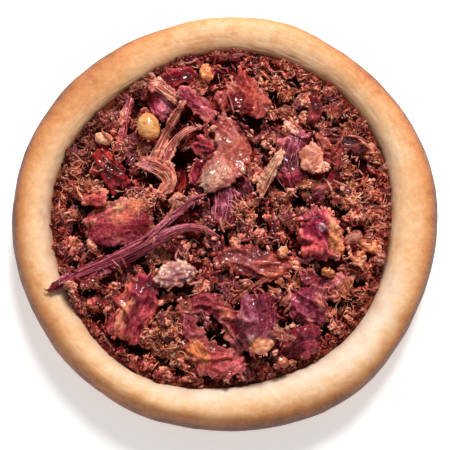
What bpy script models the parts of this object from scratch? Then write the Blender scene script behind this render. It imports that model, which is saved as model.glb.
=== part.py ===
# An open-faced sfiha: a round bread base with a raised, puffed rim, filled with crumbled and
# shredded cured beef, with larger torn pieces of beef, fat and onion lying on top of it.
# Frame: +Z up, origin at the centre of the flat underside, the photographed front towards -Y.
# Every length below is written in millimetres; the meshes are made in metres.

import math
import random

import bmesh
import bpy
import numpy as np
from mathutils import Euler, Matrix, Vector, noise
from mathutils.bvhtree import BVHTree

MM = 0.001
GAP = 0.4  # clearance kept between pieces that touch

BREAD = {
    "outer_radius": 60.0,
    "crest_radius": 54.6,  # where the rim is highest
    "wall_radius": 48.2,  # inner wall that holds the filling
    "wall_level": 12.0,  # height at which that wall is steepest
    "floor_radius": 42.8,
    "floor": 6.0,  # thickness of bread under the filling
    "height": 17.0,
    "steps_around": 56,
}
# Uneven hand shaping of the rim: (waves around, amplitude, angle of the first peak in degrees)
OUTER_WAVES = [(2, 0.25, 0), (3, 0.3, 300), (5, 0.35, 14), (6, 0.2, 10)]
WALL_WAVES = [(1, 0.7, 193), (2, 1.0, 51), (3, 0.3, 68), (4, 0.4, 60), (5, 0.5, 24)]
CREST_WAVES = [(1, 0.35, 300), (2, 0.3, 20), (3, 0.3, 140), (7, 0.12, 40)]
PUFF = {"size": 13.0, "depth": 0.4}  # soft swellings of the baked dough

HEAP = {
    "edge_radius": 47.8,
    "edge_level": 12.4,
    "middle_radius": 47.1,
    "middle_level": 10.0,
    "base_radius": 43.8,
    "rise": 3.2,  # how far the middle stands above the edge
    "lump_size": 8.5,
    "lump_height": 1.5,
    "bump_size": 3.6,
    "bump_height": 1.0,
    "cells": 26,
}
# Deep gaps between the clumps: (x, y, radius, depth)
HOLLOWS = [
    (32.6, -23.8, 3.6, 3.4), (12.0, 35.3, 3.2, 3.0), (-13.8, 15.8, 3.2, 3.0),
    (-32.7, 31.7, 2.8, 2.4), (21.0, 3.7, 3.0, 2.6), (-23.2, -13.3, 3.0, 3.0),
]
CRUMBS = {"tried": 1300, "kept": 84, "size": (1.1, 2.2), "reach": 44.6, "seed": 11}
SHREDS = {"tried": 260, "kept": 15, "length": (5.0, 9.0), "half": (0.45, 0.75), "reach": 43.2, "seed": 23}

# Sheets and strips of beef, lowest first. A limb is a spine of points with a half width at each;
# limbs of one piece are grown together. thick is the middle's thickness and edge the rim's.
SHEETS = {
    "dark_fold": {
        "limbs": [[(-36.4, 17.2, 2.5), (-33.7, 13.8, 3.9), (-31.3, 10.3, 3.9), (-28.8, 6.5, 2.5)]],
        "thick": 3.0, "edge": 0.9, "cells": (6, 4), "colour": "dark_beef",
    },
    "upright_shred": {
        "limbs": [[
            (-27.1, 33.6, 0.6), (-28.2, 29.5, 1.0), (-28.6, 25.6, 1.1),
            (-29.0, 21.8, 1.1), (-30.0, 17.2, 0.7),
        ]],
        "thick": 1.5, "edge": 0.7, "cells": (9, 2), "colour": "pink_beef",
    },
    "crimson_lump": {
        "limbs": [[(-18.8, 37.1, 1.9), (-15.1, 39.0, 3.2), (-11.1, 39.4, 3.2), (-7.5, 38.0, 2.1)]],
        "thick": 2.6, "edge": 0.9, "cells": (6, 4), "colour": "dark_beef",
    },
    "ribbed_lump": {
        "limbs": [[(-20.8, 34.0, 2.3), (-18.1, 30.9, 3.4), (-15.9, 27.4, 2.3)]],
        "thick": 2.8, "edge": 1.0, "cells": (5, 4), "colour": "plum_beef",
    },
    "pink_strap": {
        "limbs": [[(-22.5, 36.9, 1.2), (-18.9, 35.6, 1.8), (-15.6, 33.5, 1.8), (-12.6, 31.4, 1.3)]],
        "thick": 1.5, "edge": 0.6, "cells": (7, 2), "colour": "pink_beef",
    },
    "pink_bridge": {
        "limbs": [[(-13.0, 34.0, 1.8), (-9.8, 32.2, 2.8), (-6.5, 30.0, 2.7), (-3.5, 26.8, 1.7)]],
        "thick": 2.0, "edge": 0.7, "cells": (6, 3), "colour": "pink_beef",
    },
    "plum_lump": {
        "limbs": [[(-8.4, 20.3, 1.7), (-5.8, 18.3, 2.7), (-3.5, 15.7, 1.9)]],
        "thick": 2.4, "edge": 0.9, "cells": (4, 3), "colour": "plum_beef",
    },
    "plum_block": {
        "limbs": [[(-7.8, 14.2, 1.7), (-7.2, 10.9, 2.5), (-7.9, 7.4, 1.7)]],
        "thick": 2.2, "edge": 0.9, "cells": (4, 3), "colour": "plum_beef",
    },
    "red_flake": {
        "limbs": [[(-11.9, 11.5, 0.9), (-12.2, 8.5, 1.5), (-13.0, 5.3, 1.0)]],
        "thick": 1.6, "edge": 0.6, "cells": (4, 2), "colour": "dark_beef",
    },
    "striated_block": {
        "limbs": [[(-0.6, 6.8, 2.7), (0.2, 3.5, 3.6), (0.0, -0.3, 3.6), (-1.1, -4.5, 2.3)]],
        "thick": 3.0, "edge": 1.1, "cells": (6, 4), "colour": "plum_beef",
    },
    "fan_sheet": {
        "limbs": [[(4.0, 41.6, 1.1), (4.6, 37.2, 4.1), (5.2, 32.4, 8.0), (4.8, 28.0, 5.2)]],
        "thick": 1.9, "edge": 0.7, "cells": (7, 6), "colour": "red_beef",
    },
    "glazed_sheet": {
        "limbs": [[
            (-2.1, 26.6, 2.1), (0.8, 22.6, 3.9), (2.4, 17.5, 4.8),
            (0.4, 12.4, 4.8), (-2.9, 8.7, 4.1), (-6.2, 5.8, 1.9),
        ]],
        "thick": 1.9, "edge": 0.7, "cells": (10, 5), "colour": "pink_beef",
    },
    "forked_shred": {
        "limbs": [
            [
                (-25.2, 14.6, 1.2), (-20.9, 13.6, 2.3), (-16.7, 11.1, 2.3),
                (-15.3, 7.4, 1.9), (-17.8, 4.3, 1.2),
            ],
            [
                (-20.3, 13.4, 1.7), (-18.6, 18.4, 1.4), (-16.5, 22.4, 1.2),
                (-13.9, 26.1, 1.1), (-11.6, 29.6, 0.7),
            ],
            [
                (-17.3, 12.8, 1.6), (-15.6, 17.8, 1.2), (-13.3, 20.9, 1.1),
                (-10.4, 22.8, 1.1), (-6.9, 24.2, 0.7),
            ],
        ],
        "thick": 1.8, "edge": 0.8, "cells": (7, 2), "colour": "pink_beef",
    },
    "marbled_slab": {
        "limbs": [[(-38.7, -4.9, 3.5), (-33.0, -3.9, 5.6), (-26.2, -2.6, 6.0), (-20.1, -0.9, 3.7)]],
        "thick": 2.6, "edge": 0.9, "cells": (7, 5), "colour": "red_beef",
    },
    "red_oval": {
        "limbs": [[(-39.6, 4.7, 1.6), (-36.1, 3.7, 2.6), (-32.6, 3.3, 1.8)]],
        "thick": 1.8, "edge": 0.8, "cells": (4, 3), "colour": "red_beef",
    },
    "long_strip": {
        "limbs": [
            [
                (-48.4, -22.3, 0.5), (-44.3, -19.9, 1.4), (-38.0, -16.8, 2.0),
                (-30.8, -14.0, 2.2), (-23.2, -10.5, 2.0), (-17.1, -7.5, 1.5),
                (-11.7, -5.1, 1.1), (-6.5, -5.3, 0.9), (-2.3, -7.4, 0.5),
            ],
            [(-23.7, -10.0, 1.3), (-18.7, -6.0, 1.2), (-13.9, -1.5, 1.1), (-9.6, 1.6, 0.9), (-5.9, 3.1, 0.5)],
        ],
        "thick": 2.4, "edge": 0.9, "cells": (20, 3), "colour": "plum_beef",
    },
    "upper_right_strand": {
        "limbs": [[(24.7, 35.6, 1.2), (25.8, 31.8, 1.8), (25.3, 28.0, 1.7), (23.7, 25.0, 1.2)]],
        "thick": 1.8, "edge": 0.7, "cells": (6, 2), "colour": "plum_beef",
    },
    "right_strand": {
        "limbs": [
            [(30.2, 21.2, 1.5), (34.6, 19.8, 2.2), (39.3, 17.5, 1.6)],
        ],
        "thick": 2.0, "edge": 0.8, "cells": (5, 3), "colour": "plum_beef",
    },
    "amber_flap": {
        "limbs": [[(26.2, 23.0, 1.0), (27.7, 20.1, 1.7), (28.7, 17.3, 1.4)]],
        "thick": 1.4, "edge": 0.6, "cells": (4, 2), "colour": "onion",
    },
    "purple_tuft": {
        "limbs": [[(21.9, 22.6, 2.5), (18.3, 18.0, 3.9), (17.6, 12.6, 4.1), (20.5, 7.6, 2.9)]],
        "thick": 3.0, "edge": 1.0, "cells": (7, 4), "colour": "plum_beef",
    },
    "brown_curl": {
        "limbs": [[
            (26.7, 15.9, 1.4), (30.2, 14.2, 1.9), (31.3, 10.9, 2.1),
            (28.9, 7.4, 2.0), (24.6, 5.6, 1.4),
        ]],
        "thick": 2.0, "edge": 0.8, "cells": (8, 2), "colour": "red_beef",
    },
    "onion_flap": {
        "limbs": [[(22.0, 17.3, 2.3), (23.9, 14.4, 3.2), (22.7, 10.7, 2.1)]],
        "thick": 1.5, "edge": 0.7, "cells": (5, 3), "colour": "onion",
    },
    "pale_spike": {
        "limbs": [
            [(15.6, 16.0, 0.5), (13.3, 12.3, 1.2), (11.1, 8.3, 1.5), (9.4, 4.6, 1.3)],
        ],
        "thick": 1.6, "edge": 0.7, "cells": (6, 2), "colour": "pink_beef",
    },
    "open_ring": {
        "limbs": [[
            (22.3, -15.7, 2.3), (23.2, -19.4, 2.8), (26.8, -22.0, 2.8),
            (31.0, -21.3, 2.8), (33.7, -17.7, 2.3),
        ]],
        "thick": 2.4, "edge": 0.9, "cells": (9, 3), "colour": "pink_beef",
    },
    "rosy_lump": {
        "limbs": [
            [(23.7, 0.1, 3.6), (25.5, -4.4, 5.8), (26.6, -8.9, 6.0), (26.2, -12.8, 4.0)],
        ],
        "thick": 3.0, "edge": 0.9, "cells": (7, 5), "colour": "red_beef",
    },
    "glossy_membrane": {
        "limbs": [[
            (-3.4, -14.3, 2.1), (2.2, -13.0, 3.7), (7.9, -14.3, 4.3), (13.3, -15.7, 3.5), (17.3, -16.0, 1.9),
        ]],
        "thick": 1.9, "edge": 0.7, "cells": (9, 4), "colour": "tallow",
    },
    "ridged_slab": {
        "limbs": [[(-20.2, -17.9, 3.1), (-23.0, -23.3, 5.0), (-25.9, -29.4, 5.6), (-28.7, -34.5, 4.3)]],
        "thick": 2.6, "edge": 0.9, "cells": (8, 5), "colour": "plum_beef",
    },
    "fat_cluster": {
        "limbs": [[(-17.9, -20.9, 1.9), (-15.1, -18.1, 3.3), (-11.4, -17.2, 3.5), (-8.4, -18.8, 2.1)]],
        "thick": 2.6, "edge": 1.1, "cells": (6, 4), "colour": "tallow",
    },
    "torn_sheet": {
        "limbs": [
            [
                (-9.7, -26.5, 2.8), (-10.5, -31.9, 3.4), (-8.3, -37.0, 3.6),
                (-4.3, -40.2, 3.9), (0.3, -41.5, 4.2), (4.8, -40.2, 3.0),
            ],
            [
                (-10.3, -28.4, 2.2), (-6.8, -25.7, 2.7), (-2.4, -26.5, 2.7),
                (1.1, -29.7, 2.6), (3.2, -34.1, 2.8), (4.0, -38.1, 2.4),
            ],
        ],
        "thick": 2.2, "edge": 0.9, "cells": (8, 3), "colour": "red_beef",
    },
    "fatty_slab": {
        "limbs": [[(7.7, -22.9, 3.5), (8.8, -27.7, 5.4), (9.0, -32.7, 5.6), (5.0, -37.1, 3.3)]],
        "thick": 2.6, "edge": 0.9, "cells": (7, 5), "colour": "plum_beef",
    },
    "cracked_slab": {
        "limbs": [
            [(20.6, -21.6, 3.4), (21.7, -25.1, 4.7), (22.7, -28.7, 4.9), (22.1, -31.4, 4.3)],
        ],
        "thick": 2.8, "edge": 1.0, "cells": (6, 4), "colour": "plum_beef",
    },
    "folded_slab": {
        "limbs": [[(25.4, -34.7, 3.1), (20.8, -35.8, 4.1), (15.7, -37.6, 2.9)]],
        "thick": 2.6, "edge": 0.9, "cells": (5, 4), "colour": "plum_beef",
    },
}

# Rounded chunks: centre, half sizes along its own axes, turn about the vertical in degrees
CHUNKS = {
    "onion_bead": {"at": (-21.3, 23.6), "half": (3.3, 4.2, 2.6), "turn": 12, "colour": "onion"},
    "left_chip": {"at": (-34.1, 21.0), "half": (2.9, 1.8, 1.6), "turn": -18, "colour": "fat"},
    "rusty_lump": {"at": (-5.4, 39.8), "half": (2.0, 3.0, 2.0), "turn": 8, "colour": "onion"},
    "orange_chip": {"at": (40.2, -9.4), "half": (3.7, 2.1, 1.6), "turn": -20, "colour": "onion"},
    "ring_chip": {"at": (28.2, -17.2), "half": (2.2, 1.4, 1.2), "turn": -15, "colour": "onion"},
    "fat_wedge": {"at": (9.9, -37.8), "half": (3.2, 2.2, 1.6), "turn": 20, "colour": "fat"},
    "amber_chip": {"at": (15.5, -41.5), "half": (1.9, 1.5, 1.4), "turn": -30, "colour": "onion"},
    "clear_onion": {"at": (35.3, -7.5), "half": (3.0, 2.0, 1.4), "turn": 25, "colour": "tallow"},
    "small_chip": {"at": (15.8, -11.7), "half": (1.5, 1.8, 1.2), "turn": 0, "colour": "onion"},
    "orange_lump": {"at": (36.8, -13.3), "half": (2.0, 2.3, 1.6), "turn": 10, "colour": "onion"},
}

# Finishes: base colour, roughness
FINISHES = {
    "bread": ((0.86, 0.60, 0.34), 0.75),
    "mince": ((0.34, 0.13, 0.08), 0.6),
    "dark_beef": ((0.16, 0.02, 0.03), 0.35),
    "plum_beef": ((0.26, 0.07, 0.10), 0.4),
    "red_beef": ((0.40, 0.09, 0.08), 0.4),
    "pink_beef": ((0.62, 0.24, 0.18), 0.4),
    "onion": ((0.72, 0.40, 0.16), 0.3),
    "tallow": ((0.58, 0.34, 0.25), 0.25),
    "fat": ((0.80, 0.55, 0.32), 0.35),
}


def clear_scene():
    for old in list(bpy.data.objects):
        bpy.data.objects.remove(old)


def smooth_step(low, high, value):
    share = min(max((value - low) / (high - low), 0.0), 1.0)
    return share * share * (3 - 2 * share)


def waves(table, angle):
    return sum(size * math.cos(count * (angle - math.radians(peak))) for count, size, peak in table)


def arc(centre, half_width, half_height, start, end, steps):
    """Points of an elliptical arc between two angles in degrees, both ends included."""
    angles = [math.radians(start + (end - start) * i / steps) for i in range(steps + 1)]
    return [(centre[0] + half_width * math.cos(a), centre[1] + half_height * math.sin(a)) for a in angles]


def finish(name):
    found = bpy.data.materials.get(name)
    if found:
        return found
    colour, roughness = FINISHES[name]
    material = bpy.data.materials.new(name)
    material.use_nodes = True
    shader = material.node_tree.nodes["Principled BSDF"]
    shader.inputs["Base Color"].default_value = (*colour, 1)
    shader.inputs["Roughness"].default_value = roughness
    shader.inputs["Metallic"].default_value = 0.0
    material.diffuse_color = (*colour, 1)
    return material


def add_object(name, bm, colour, collection):
    """Turns a bmesh in millimetres into a named object in metres."""
    bm.transform(Matrix.Scale(MM, 4))
    mesh = bpy.data.meshes.new(name)
    bm.to_mesh(mesh)
    bm.free()
    mesh.materials.append(finish(colour))
    made = bpy.data.objects.new(name, mesh)
    collection.objects.link(made)
    return made


def evaluated_mesh(body):
    """The object's mesh with its modifiers applied."""
    bpy.context.view_layer.update()
    return bpy.data.meshes.new_from_object(body.evaluated_get(bpy.context.evaluated_depsgraph_get()))


def in_millimetres(bodies):
    """One search tree over the surfaces of some objects, in millimetres."""
    points = []
    faces = []
    for body in bodies:
        start = len(points)
        points += [body.matrix_world @ v.co / MM for v in body.data.vertices]
        faces += [[start + i for i in face.vertices] for face in body.data.polygons]
    return BVHTree.FromPolygons(points, faces)


# Radial shift of the bread at a point, which the filling follows where it meets the wall.
def hand_shaping(radius, angle):
    wall, outer = BREAD["wall_radius"], BREAD["outer_radius"]
    inside = waves(WALL_WAVES, angle) * smooth_step(0, BREAD["floor_radius"], radius)
    share = smooth_step(wall, outer, radius)
    return inside * (1 - share) + waves(OUTER_WAVES, angle) * share


def bread_profile():
    crest, wall, floor = BREAD["crest_radius"], BREAD["wall_radius"], BREAD["floor"]
    level, height, floor_radius = BREAD["wall_level"], BREAD["height"], BREAD["floor_radius"]
    cove = arc((floor_radius, level), wall - floor_radius, level - floor, -90, 0, 3)
    slope = arc((crest, level), crest - wall, height - level, 180, 90, 4)
    side = arc((crest, height / 2), BREAD["outer_radius"] - crest, height / 2, 90, -90, 8)
    return [(0, floor), *cove, *slope[1:], *side[1:], (0, 0)]


def turned(profile, steps):
    """The body that a profile sweeps round the vertical axis."""
    mesh = bpy.data.meshes.new("profile")
    edges = [(index, index + 1) for index in range(len(profile) - 1)]
    mesh.from_pydata([(radius, 0, level) for radius, level in profile], edges, [])
    guide = bpy.data.objects.new("profile", mesh)
    bpy.context.scene.collection.objects.link(guide)
    screw = guide.modifiers.new("turn", "SCREW")
    screw.steps = screw.render_steps = steps
    screw.use_merge_vertices = True
    screw.merge_threshold = 0.0001
    bm = bmesh.new()
    bm.from_mesh(evaluated_mesh(guide))
    bpy.data.objects.remove(guide)
    return bm


def make_bread(collection):
    bm = turned(bread_profile(), BREAD["steps_around"])
    for vert in bm.verts:
        radius = math.hypot(vert.co.x, vert.co.y)
        if radius < 1:
            continue
        angle = math.atan2(vert.co.y, vert.co.x)
        crown = smooth_step(BREAD["wall_level"], BREAD["height"], vert.co.z)
        outside = smooth_step(BREAD["wall_radius"] + 1, BREAD["outer_radius"], radius)
        puff = noise.noise(vert.co / PUFF["size"]) * PUFF["depth"] * max(outside, crown)
        grown = radius + hand_shaping(radius, angle) + puff
        lifted = vert.co.z + crown * (waves(CREST_WAVES, angle) + puff)
        vert.co = (grown * math.cos(angle), grown * math.sin(angle), lifted)
    spans = [(min(v.co[i] for v in bm.verts), max(v.co[i] for v in bm.verts)) for i in (0, 1)]
    middle = Vector([sum(span) / 2 for span in spans] + [0])
    bmesh.ops.translate(bm, verts=bm.verts[:], vec=-middle)
    bmesh.ops.recalc_face_normals(bm, faces=bm.faces[:])
    return add_object("bread", bm, "bread", collection), middle


# Height of the bare filling before crumbs and pieces are laid on it.
def heap_height(x, y):
    radius = math.hypot(x, y)
    inward = 1 - (min(radius, HEAP["edge_radius"]) / HEAP["edge_radius"]) ** 5
    lumps = noise.noise(Vector((x, y, 4.0)) / HEAP["lump_size"]) * HEAP["lump_height"]
    bumps = noise.noise(Vector((x, y, 9.0)) / HEAP["bump_size"]) * HEAP["bump_height"]
    dome = HEAP["rise"] * (1 - 0.45 * (radius / HEAP["edge_radius"]) ** 2)
    sunk = sum(depth * math.exp(-((x - a) ** 2 + (y - b) ** 2) / r ** 2) for a, b, r, depth in HOLLOWS)
    return HEAP["edge_level"] + inward * (dome + lumps + bumps - sunk)


def make_heap_core(collection, middle):
    """A flat-bottomed heap: a grid drawn out to a disc, with its border taken down the bread's wall."""
    bm = bmesh.new()
    bmesh.ops.create_grid(bm, x_segments=HEAP["cells"], y_segments=HEAP["cells"], size=1)
    for vert in bm.verts:
        u, v = vert.co.x, vert.co.y
        x = u * math.sqrt(1 - v * v / 2) * HEAP["edge_radius"]
        y = v * math.sqrt(1 - u * u / 2) * HEAP["edge_radius"]
        vert.co = (x, y, heap_height(x, y))
    border = [edge for edge in bm.edges if edge.is_boundary]
    rings = [
        (HEAP["middle_radius"], HEAP["middle_level"]),
        (HEAP["base_radius"], BREAD["floor"] + GAP),
    ]
    for radius, level in rings:
        made = bmesh.ops.extrude_edge_only(bm, edges=border)["geom"]
        for vert in [g for g in made if isinstance(g, bmesh.types.BMVert)]:
            angle = math.atan2(vert.co.y, vert.co.x)
            vert.co = (radius * math.cos(angle), radius * math.sin(angle), level)
        border = [g for g in made if isinstance(g, bmesh.types.BMEdge)]
    bmesh.ops.contextual_create(bm, geom=border)
    for vert in bm.verts:
        radius = math.hypot(vert.co.x, vert.co.y)
        angle = math.atan2(vert.co.y, vert.co.x)
        grown = radius + hand_shaping(radius, angle)
        vert.co = Vector((grown * math.cos(angle), grown * math.sin(angle), vert.co.z)) - middle
    bmesh.ops.triangulate(bm, faces=bm.faces[:])
    bmesh.ops.recalc_face_normals(bm, faces=bm.faces[:])
    return add_object("mince_heap", bm, "mince", collection)


class Ground:
    """The height of everything laid so far, on a fine square grid seen from above."""

    cell = 0.6
    half = 57.0
    ceiling = 60.0

    def __init__(self, bodies):
        self.count = int(2 * self.half / self.cell) + 1
        self.level = np.zeros((self.count, self.count))
        self.covered = np.zeros((self.count, self.count), bool)
        self.lay(bodies, covers=False)

    def lay(self, bodies, covers=True):
        tree = in_millimetres(bodies)
        corners = np.array([body.matrix_world @ Vector(c) / MM for body in bodies for c in body.bound_box])
        low = ((corners.min(axis=0) + self.half) / self.cell).astype(int) - 1
        high = ((corners.max(axis=0) + self.half) / self.cell).astype(int) + 3
        for i in range(max(low[0], 0), min(high[0], self.count)):
            for j in range(max(low[1], 0), min(high[1], self.count)):
                start = Vector((i * self.cell - self.half, j * self.cell - self.half, self.ceiling))
                hit = tree.ray_cast(start, Vector((0, 0, -1)))[0]
                if hit is None:
                    continue
                self.level[i, j] = max(self.level[i, j], hit.z)
                self.covered[i, j] |= covers

    def around(self, table, x, y, reach):
        i, j = (round((c + self.half) / self.cell) for c in (x, y))
        span = math.ceil(reach / self.cell)
        return table[max(i - span, 0):i + span + 1, max(j - span, 0):j + span + 1]

    def top(self, x, y, reach):
        return float(self.around(self.level, x, y, reach).max())

    def is_free(self, x, y, reach):
        return not self.around(self.covered, x, y, reach).any()


def spine_point(points, share):
    """Catmull-Rom position and half width at a share of the way along a limb."""
    place = share * (len(points) - 1)
    index = min(int(place), len(points) - 2)
    t = place - index
    p = [Vector(points[min(max(index + k, 0), len(points) - 1)]) for k in (-1, 0, 1, 2)]
    curve = 2 * p[1] + (p[2] - p[0]) * t + (2 * p[0] - 5 * p[1] + 4 * p[2] - p[3]) * t ** 2
    return (curve + (3 * p[1] - p[0] - 3 * p[2] + p[3]) * t ** 3) / 2


def limb_frame(points, share):
    """Centre, sideways direction and half width of a limb."""
    here = spine_point(points, share)
    ahead = spine_point(points, min(share + 0.02, 1)) - spine_point(points, max(share - 0.02, 0))
    along = Vector((ahead.x, ahead.y)).normalized()
    return Vector((here.x, here.y)), Vector((-along.y, along.x)), here.z


def drape_limb(points, piece, cells, ground, lift):
    """A slab with a torn outline, laid over what is already there and bridging its dips."""
    bm = bmesh.new()
    bmesh.ops.create_grid(bm, x_segments=cells[0], y_segments=cells[1], size=1)
    bmesh.ops.triangulate(bm, faces=bm.faces[:])
    sides = {}
    for vert in bm.verts:
        u, v = vert.co.x, vert.co.y
        centre, sideways, half_width = limb_frame(points, (u + 1) / 2)
        torn = 1 + 0.16 * noise.noise(Vector((centre.x, centre.y, 7 * v)) / 2.2) * abs(v)
        place = centre + sideways * (v * half_width * torn)
        sides[vert] = (u, v)
        vert.co = (place.x, place.y, 0)
    reach = max(edge.calc_length() for edge in bm.edges) * 0.6
    lowest = {v: ground.top(v.co.x, v.co.y, reach) + GAP + lift for v in bm.verts}
    for vert in bm.verts:
        vert.co.z = lowest[vert]
    for _ in range(6):  # draw the slab taut over hollows
        mean = {v: sum(e.other_vert(v).co.z for e in v.link_edges) / len(v.link_edges) for v in bm.verts}
        for vert in bm.verts:
            vert.co.z = max(lowest[vert], (vert.co.z + mean[vert]) / 2)
    depth = {}
    for vert in bm.verts:
        u, v = sides[vert]
        crown = math.sqrt(max(1 - v * v, 0)) * math.sqrt(max(1 - u ** 4, 0))
        ripple = 1 + 0.25 * noise.noise(vert.co / 2.5)
        depth[tuple(vert.co)] = piece["edge"] + (piece["thick"] - piece["edge"]) * crown * ripple
    raised = bmesh.ops.extrude_face_region(bm, geom=bm.faces[:])["geom"]
    for vert in [g for g in raised if isinstance(g, bmesh.types.BMVert)]:
        vert.co.z += depth[tuple(vert.co)]
    bmesh.ops.recalc_face_normals(bm, faces=bm.faces[:])
    return bm


def unite(body, others):
    """Grows the objects of one collection into the body with a single Boolean, then removes them."""
    union = body.modifiers.new("grown_together", "BOOLEAN")
    union.operation = "UNION"
    union.solver = "EXACT"
    union.operand_type = "COLLECTION"
    union.collection = others
    united = evaluated_mesh(body)
    body.modifiers.clear()
    body.data = united
    for used in list(others.objects):
        bpy.data.objects.remove(used)
    bpy.data.collections.remove(others)


def keep_largest(body):
    """Drops loose scraps and sealed pockets that a union can leave, and keeps the outer shell."""
    bm = bmesh.new()
    bm.from_mesh(body.data)
    bmesh.ops.remove_doubles(bm, verts=bm.verts[:], dist=0.00001)
    left = set(bm.faces)
    shells = []
    while left:
        front = [left.pop()]
        shell = list(front)
        while front:
            face = front.pop()
            near = {f for edge in face.edges for f in edge.link_faces} & left
            left -= near
            front += near
            shell += near
        shells.append(shell)
    largest = max(shells, key=len)
    scraps = [face for shell in shells if shell is not largest for face in shell]
    bmesh.ops.delete(bm, geom=scraps, context="FACES")
    bm.to_mesh(body.data)
    bm.free()


def make_sheet(name, piece, ground, collection):
    limbs = bpy.data.collections.new(name + "_limbs")
    bpy.context.scene.collection.children.link(limbs)
    for index, points in enumerate(piece["limbs"][1:], start=1):
        cells = (max(len(points) + 2, 5), 2) if len(piece["limbs"]) > 2 else (8, piece["cells"][1])
        grown = drape_limb(points, piece, cells, ground, 0.15 * index)
        add_object(f"{name}_limb_{index}", grown, piece["colour"], limbs)
    trunk = drape_limb(piece["limbs"][0], piece, piece["cells"], ground, 0)
    body = add_object(name, trunk, piece["colour"], collection)
    if len(piece["limbs"]) > 1:
        unite(body, limbs)
        keep_largest(body)
    else:
        bpy.data.collections.remove(limbs)
    ground.lay([body])
    return body


def make_chunk(name, piece, ground, collection):
    """A rounded lump, flat where it lies on what is below."""
    bm = bmesh.new()
    bmesh.ops.create_icosphere(bm, subdivisions=2, radius=1)
    turn = Euler((0, 0, math.radians(piece["turn"]))).to_matrix()
    at, half = Vector((*piece["at"], 0)), Vector(piece["half"])
    rest = ground.top(at.x, at.y, max(half) * 0.8) + GAP
    for vert in bm.verts:
        dented = 1 + 0.2 * noise.noise(vert.co * 1.3 + at)
        place = at + turn @ (vert.co * half * dented)
        vert.co = (place.x, place.y, rest + max(place.z + half.z * 0.5, 0))
    bmesh.ops.recalc_face_normals(bm, faces=bm.faces[:])
    body = add_object(name, bm, piece["colour"], collection)
    ground.lay([body])
    return body


def scattered(table, draw):
    """Evenly spread places on the filling, on a golden-angle spiral, in a drawn order."""
    golden = math.pi * (3 - math.sqrt(5))
    tried = list(range(table["tried"]))
    draw.shuffle(tried)
    for index in tried:
        angle = index * golden
        radius = table["reach"] * math.sqrt((index + 0.5) / table["tried"])
        grown = radius + hand_shaping(radius, angle)
        yield grown * math.cos(angle), grown * math.sin(angle)


def add_crumbs(ground, collection):
    """Irregular crumbs of beef, half sunk in the heap, the largest placed first."""
    draw = random.Random(CRUMBS["seed"])
    places = scattered(CRUMBS, draw)
    sizes = sorted((draw.uniform(*CRUMBS["size"]) for _ in range(CRUMBS["kept"])), reverse=True)
    for index, size in enumerate(sizes):
        x, y = next(place for place in places if ground.is_free(*place, size + GAP))
        bm = bmesh.new()
        bmesh.ops.create_icosphere(bm, subdivisions=1, radius=1)
        tumble = Euler([draw.uniform(0, math.tau) for _ in range(3)]).to_matrix()
        half = Vector((size, size * draw.uniform(0.6, 0.9), size * draw.uniform(0.5, 0.75)))
        centre = Vector((x, y, ground.top(x, y, 0.3) + 0.15 * size))
        for vert in bm.verts:
            vert.co = centre + tumble @ (vert.co * half * draw.uniform(0.85, 1.1))
        add_object(f"crumb_{index}", bm, "mince", collection)


def add_shreds(ground, collection):
    """Short bent fibres of beef, half sunk in the heap, as five-sided tapered rods."""
    draw = random.Random(SHREDS["seed"])
    made = 0
    stations = 4
    for x, y in scattered(SHREDS, draw):
        length, heading = draw.uniform(*SHREDS["length"]), draw.uniform(0, math.tau)
        half_width, bend = draw.uniform(*SHREDS["half"]), draw.uniform(-0.35, 0.35)
        path = []
        for station in range(stations + 1):
            turned = heading + bend * (station - stations / 2)
            start = path[-1] if path else Vector((x, y, 0))
            path.append(start + Vector((math.cos(turned), math.sin(turned), 0)) * length / stations)
        if made == SHREDS["kept"] or not all(ground.is_free(p.x, p.y, half_width + 1.0) for p in path):
            continue
        if max(p.length for p in path) > SHREDS["reach"] + 1:
            continue
        bm = bmesh.new()
        bmesh.ops.create_cone(bm, cap_ends=True, segments=5, radius1=1, radius2=1, depth=1)
        long_edges = [edge for edge in bm.edges if abs(edge.verts[0].co.z - edge.verts[1].co.z) > 0.5]
        bmesh.ops.subdivide_edges(bm, edges=long_edges, cuts=stations - 1)
        for vert in bm.verts:
            share = vert.co.z + 0.5
            station = round(share * stations)
            ahead = path[min(station + 1, stations)] - path[max(station - 1, 0)]
            sideways = Vector((-ahead.y, ahead.x, 0)).normalized()
            taper = half_width * (0.45 + 0.55 * math.sin(math.pi * share))
            base = path[station].copy()
            base.z = ground.top(base.x, base.y, 0.3) + 0.35 * half_width
            vert.co = base + sideways * vert.co.x * taper * 1.4 + Vector((0, 0, vert.co.y * taper))
        bmesh.ops.recalc_face_normals(bm, faces=bm.faces[:])
        add_object(f"shred_{made}", bm, "mince", collection)
        made += 1


def main():
    clear_scene()
    sfiha = bpy.data.collections.new("sfiha")
    small_pieces = bpy.data.collections.new("crumbs_and_shreds")
    for collection in (sfiha, small_pieces):
        bpy.context.scene.collection.children.link(collection)
    bread, middle = make_bread(sfiha)
    heap = make_heap_core(sfiha, middle)
    ground = Ground([bread, heap])
    for name, piece in SHEETS.items():
        make_sheet(name, piece, ground, sfiha)
    for name, piece in CHUNKS.items():
        make_chunk(name, piece, ground, sfiha)
    add_crumbs(ground, small_pieces)
    add_shreds(ground, small_pieces)
    unite(heap, small_pieces)
    keep_largest(heap)
    for part in sfiha.objects:
        part.data.shade_smooth()
        part.data.set_sharp_from_angle(angle=math.radians(40))


main()
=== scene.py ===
# An open-faced sfiha: a soft baked bread rim round crumbled, shredded and torn cured beef,
# with beads of onion and fat. Lengths are in millimetres here and become metres in meshFrom.

import math

import bmesh
import bpy
import numpy as np
from mathutils import Matrix, Vector, noise
from mathutils.bvhtree import BVHTree


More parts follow.
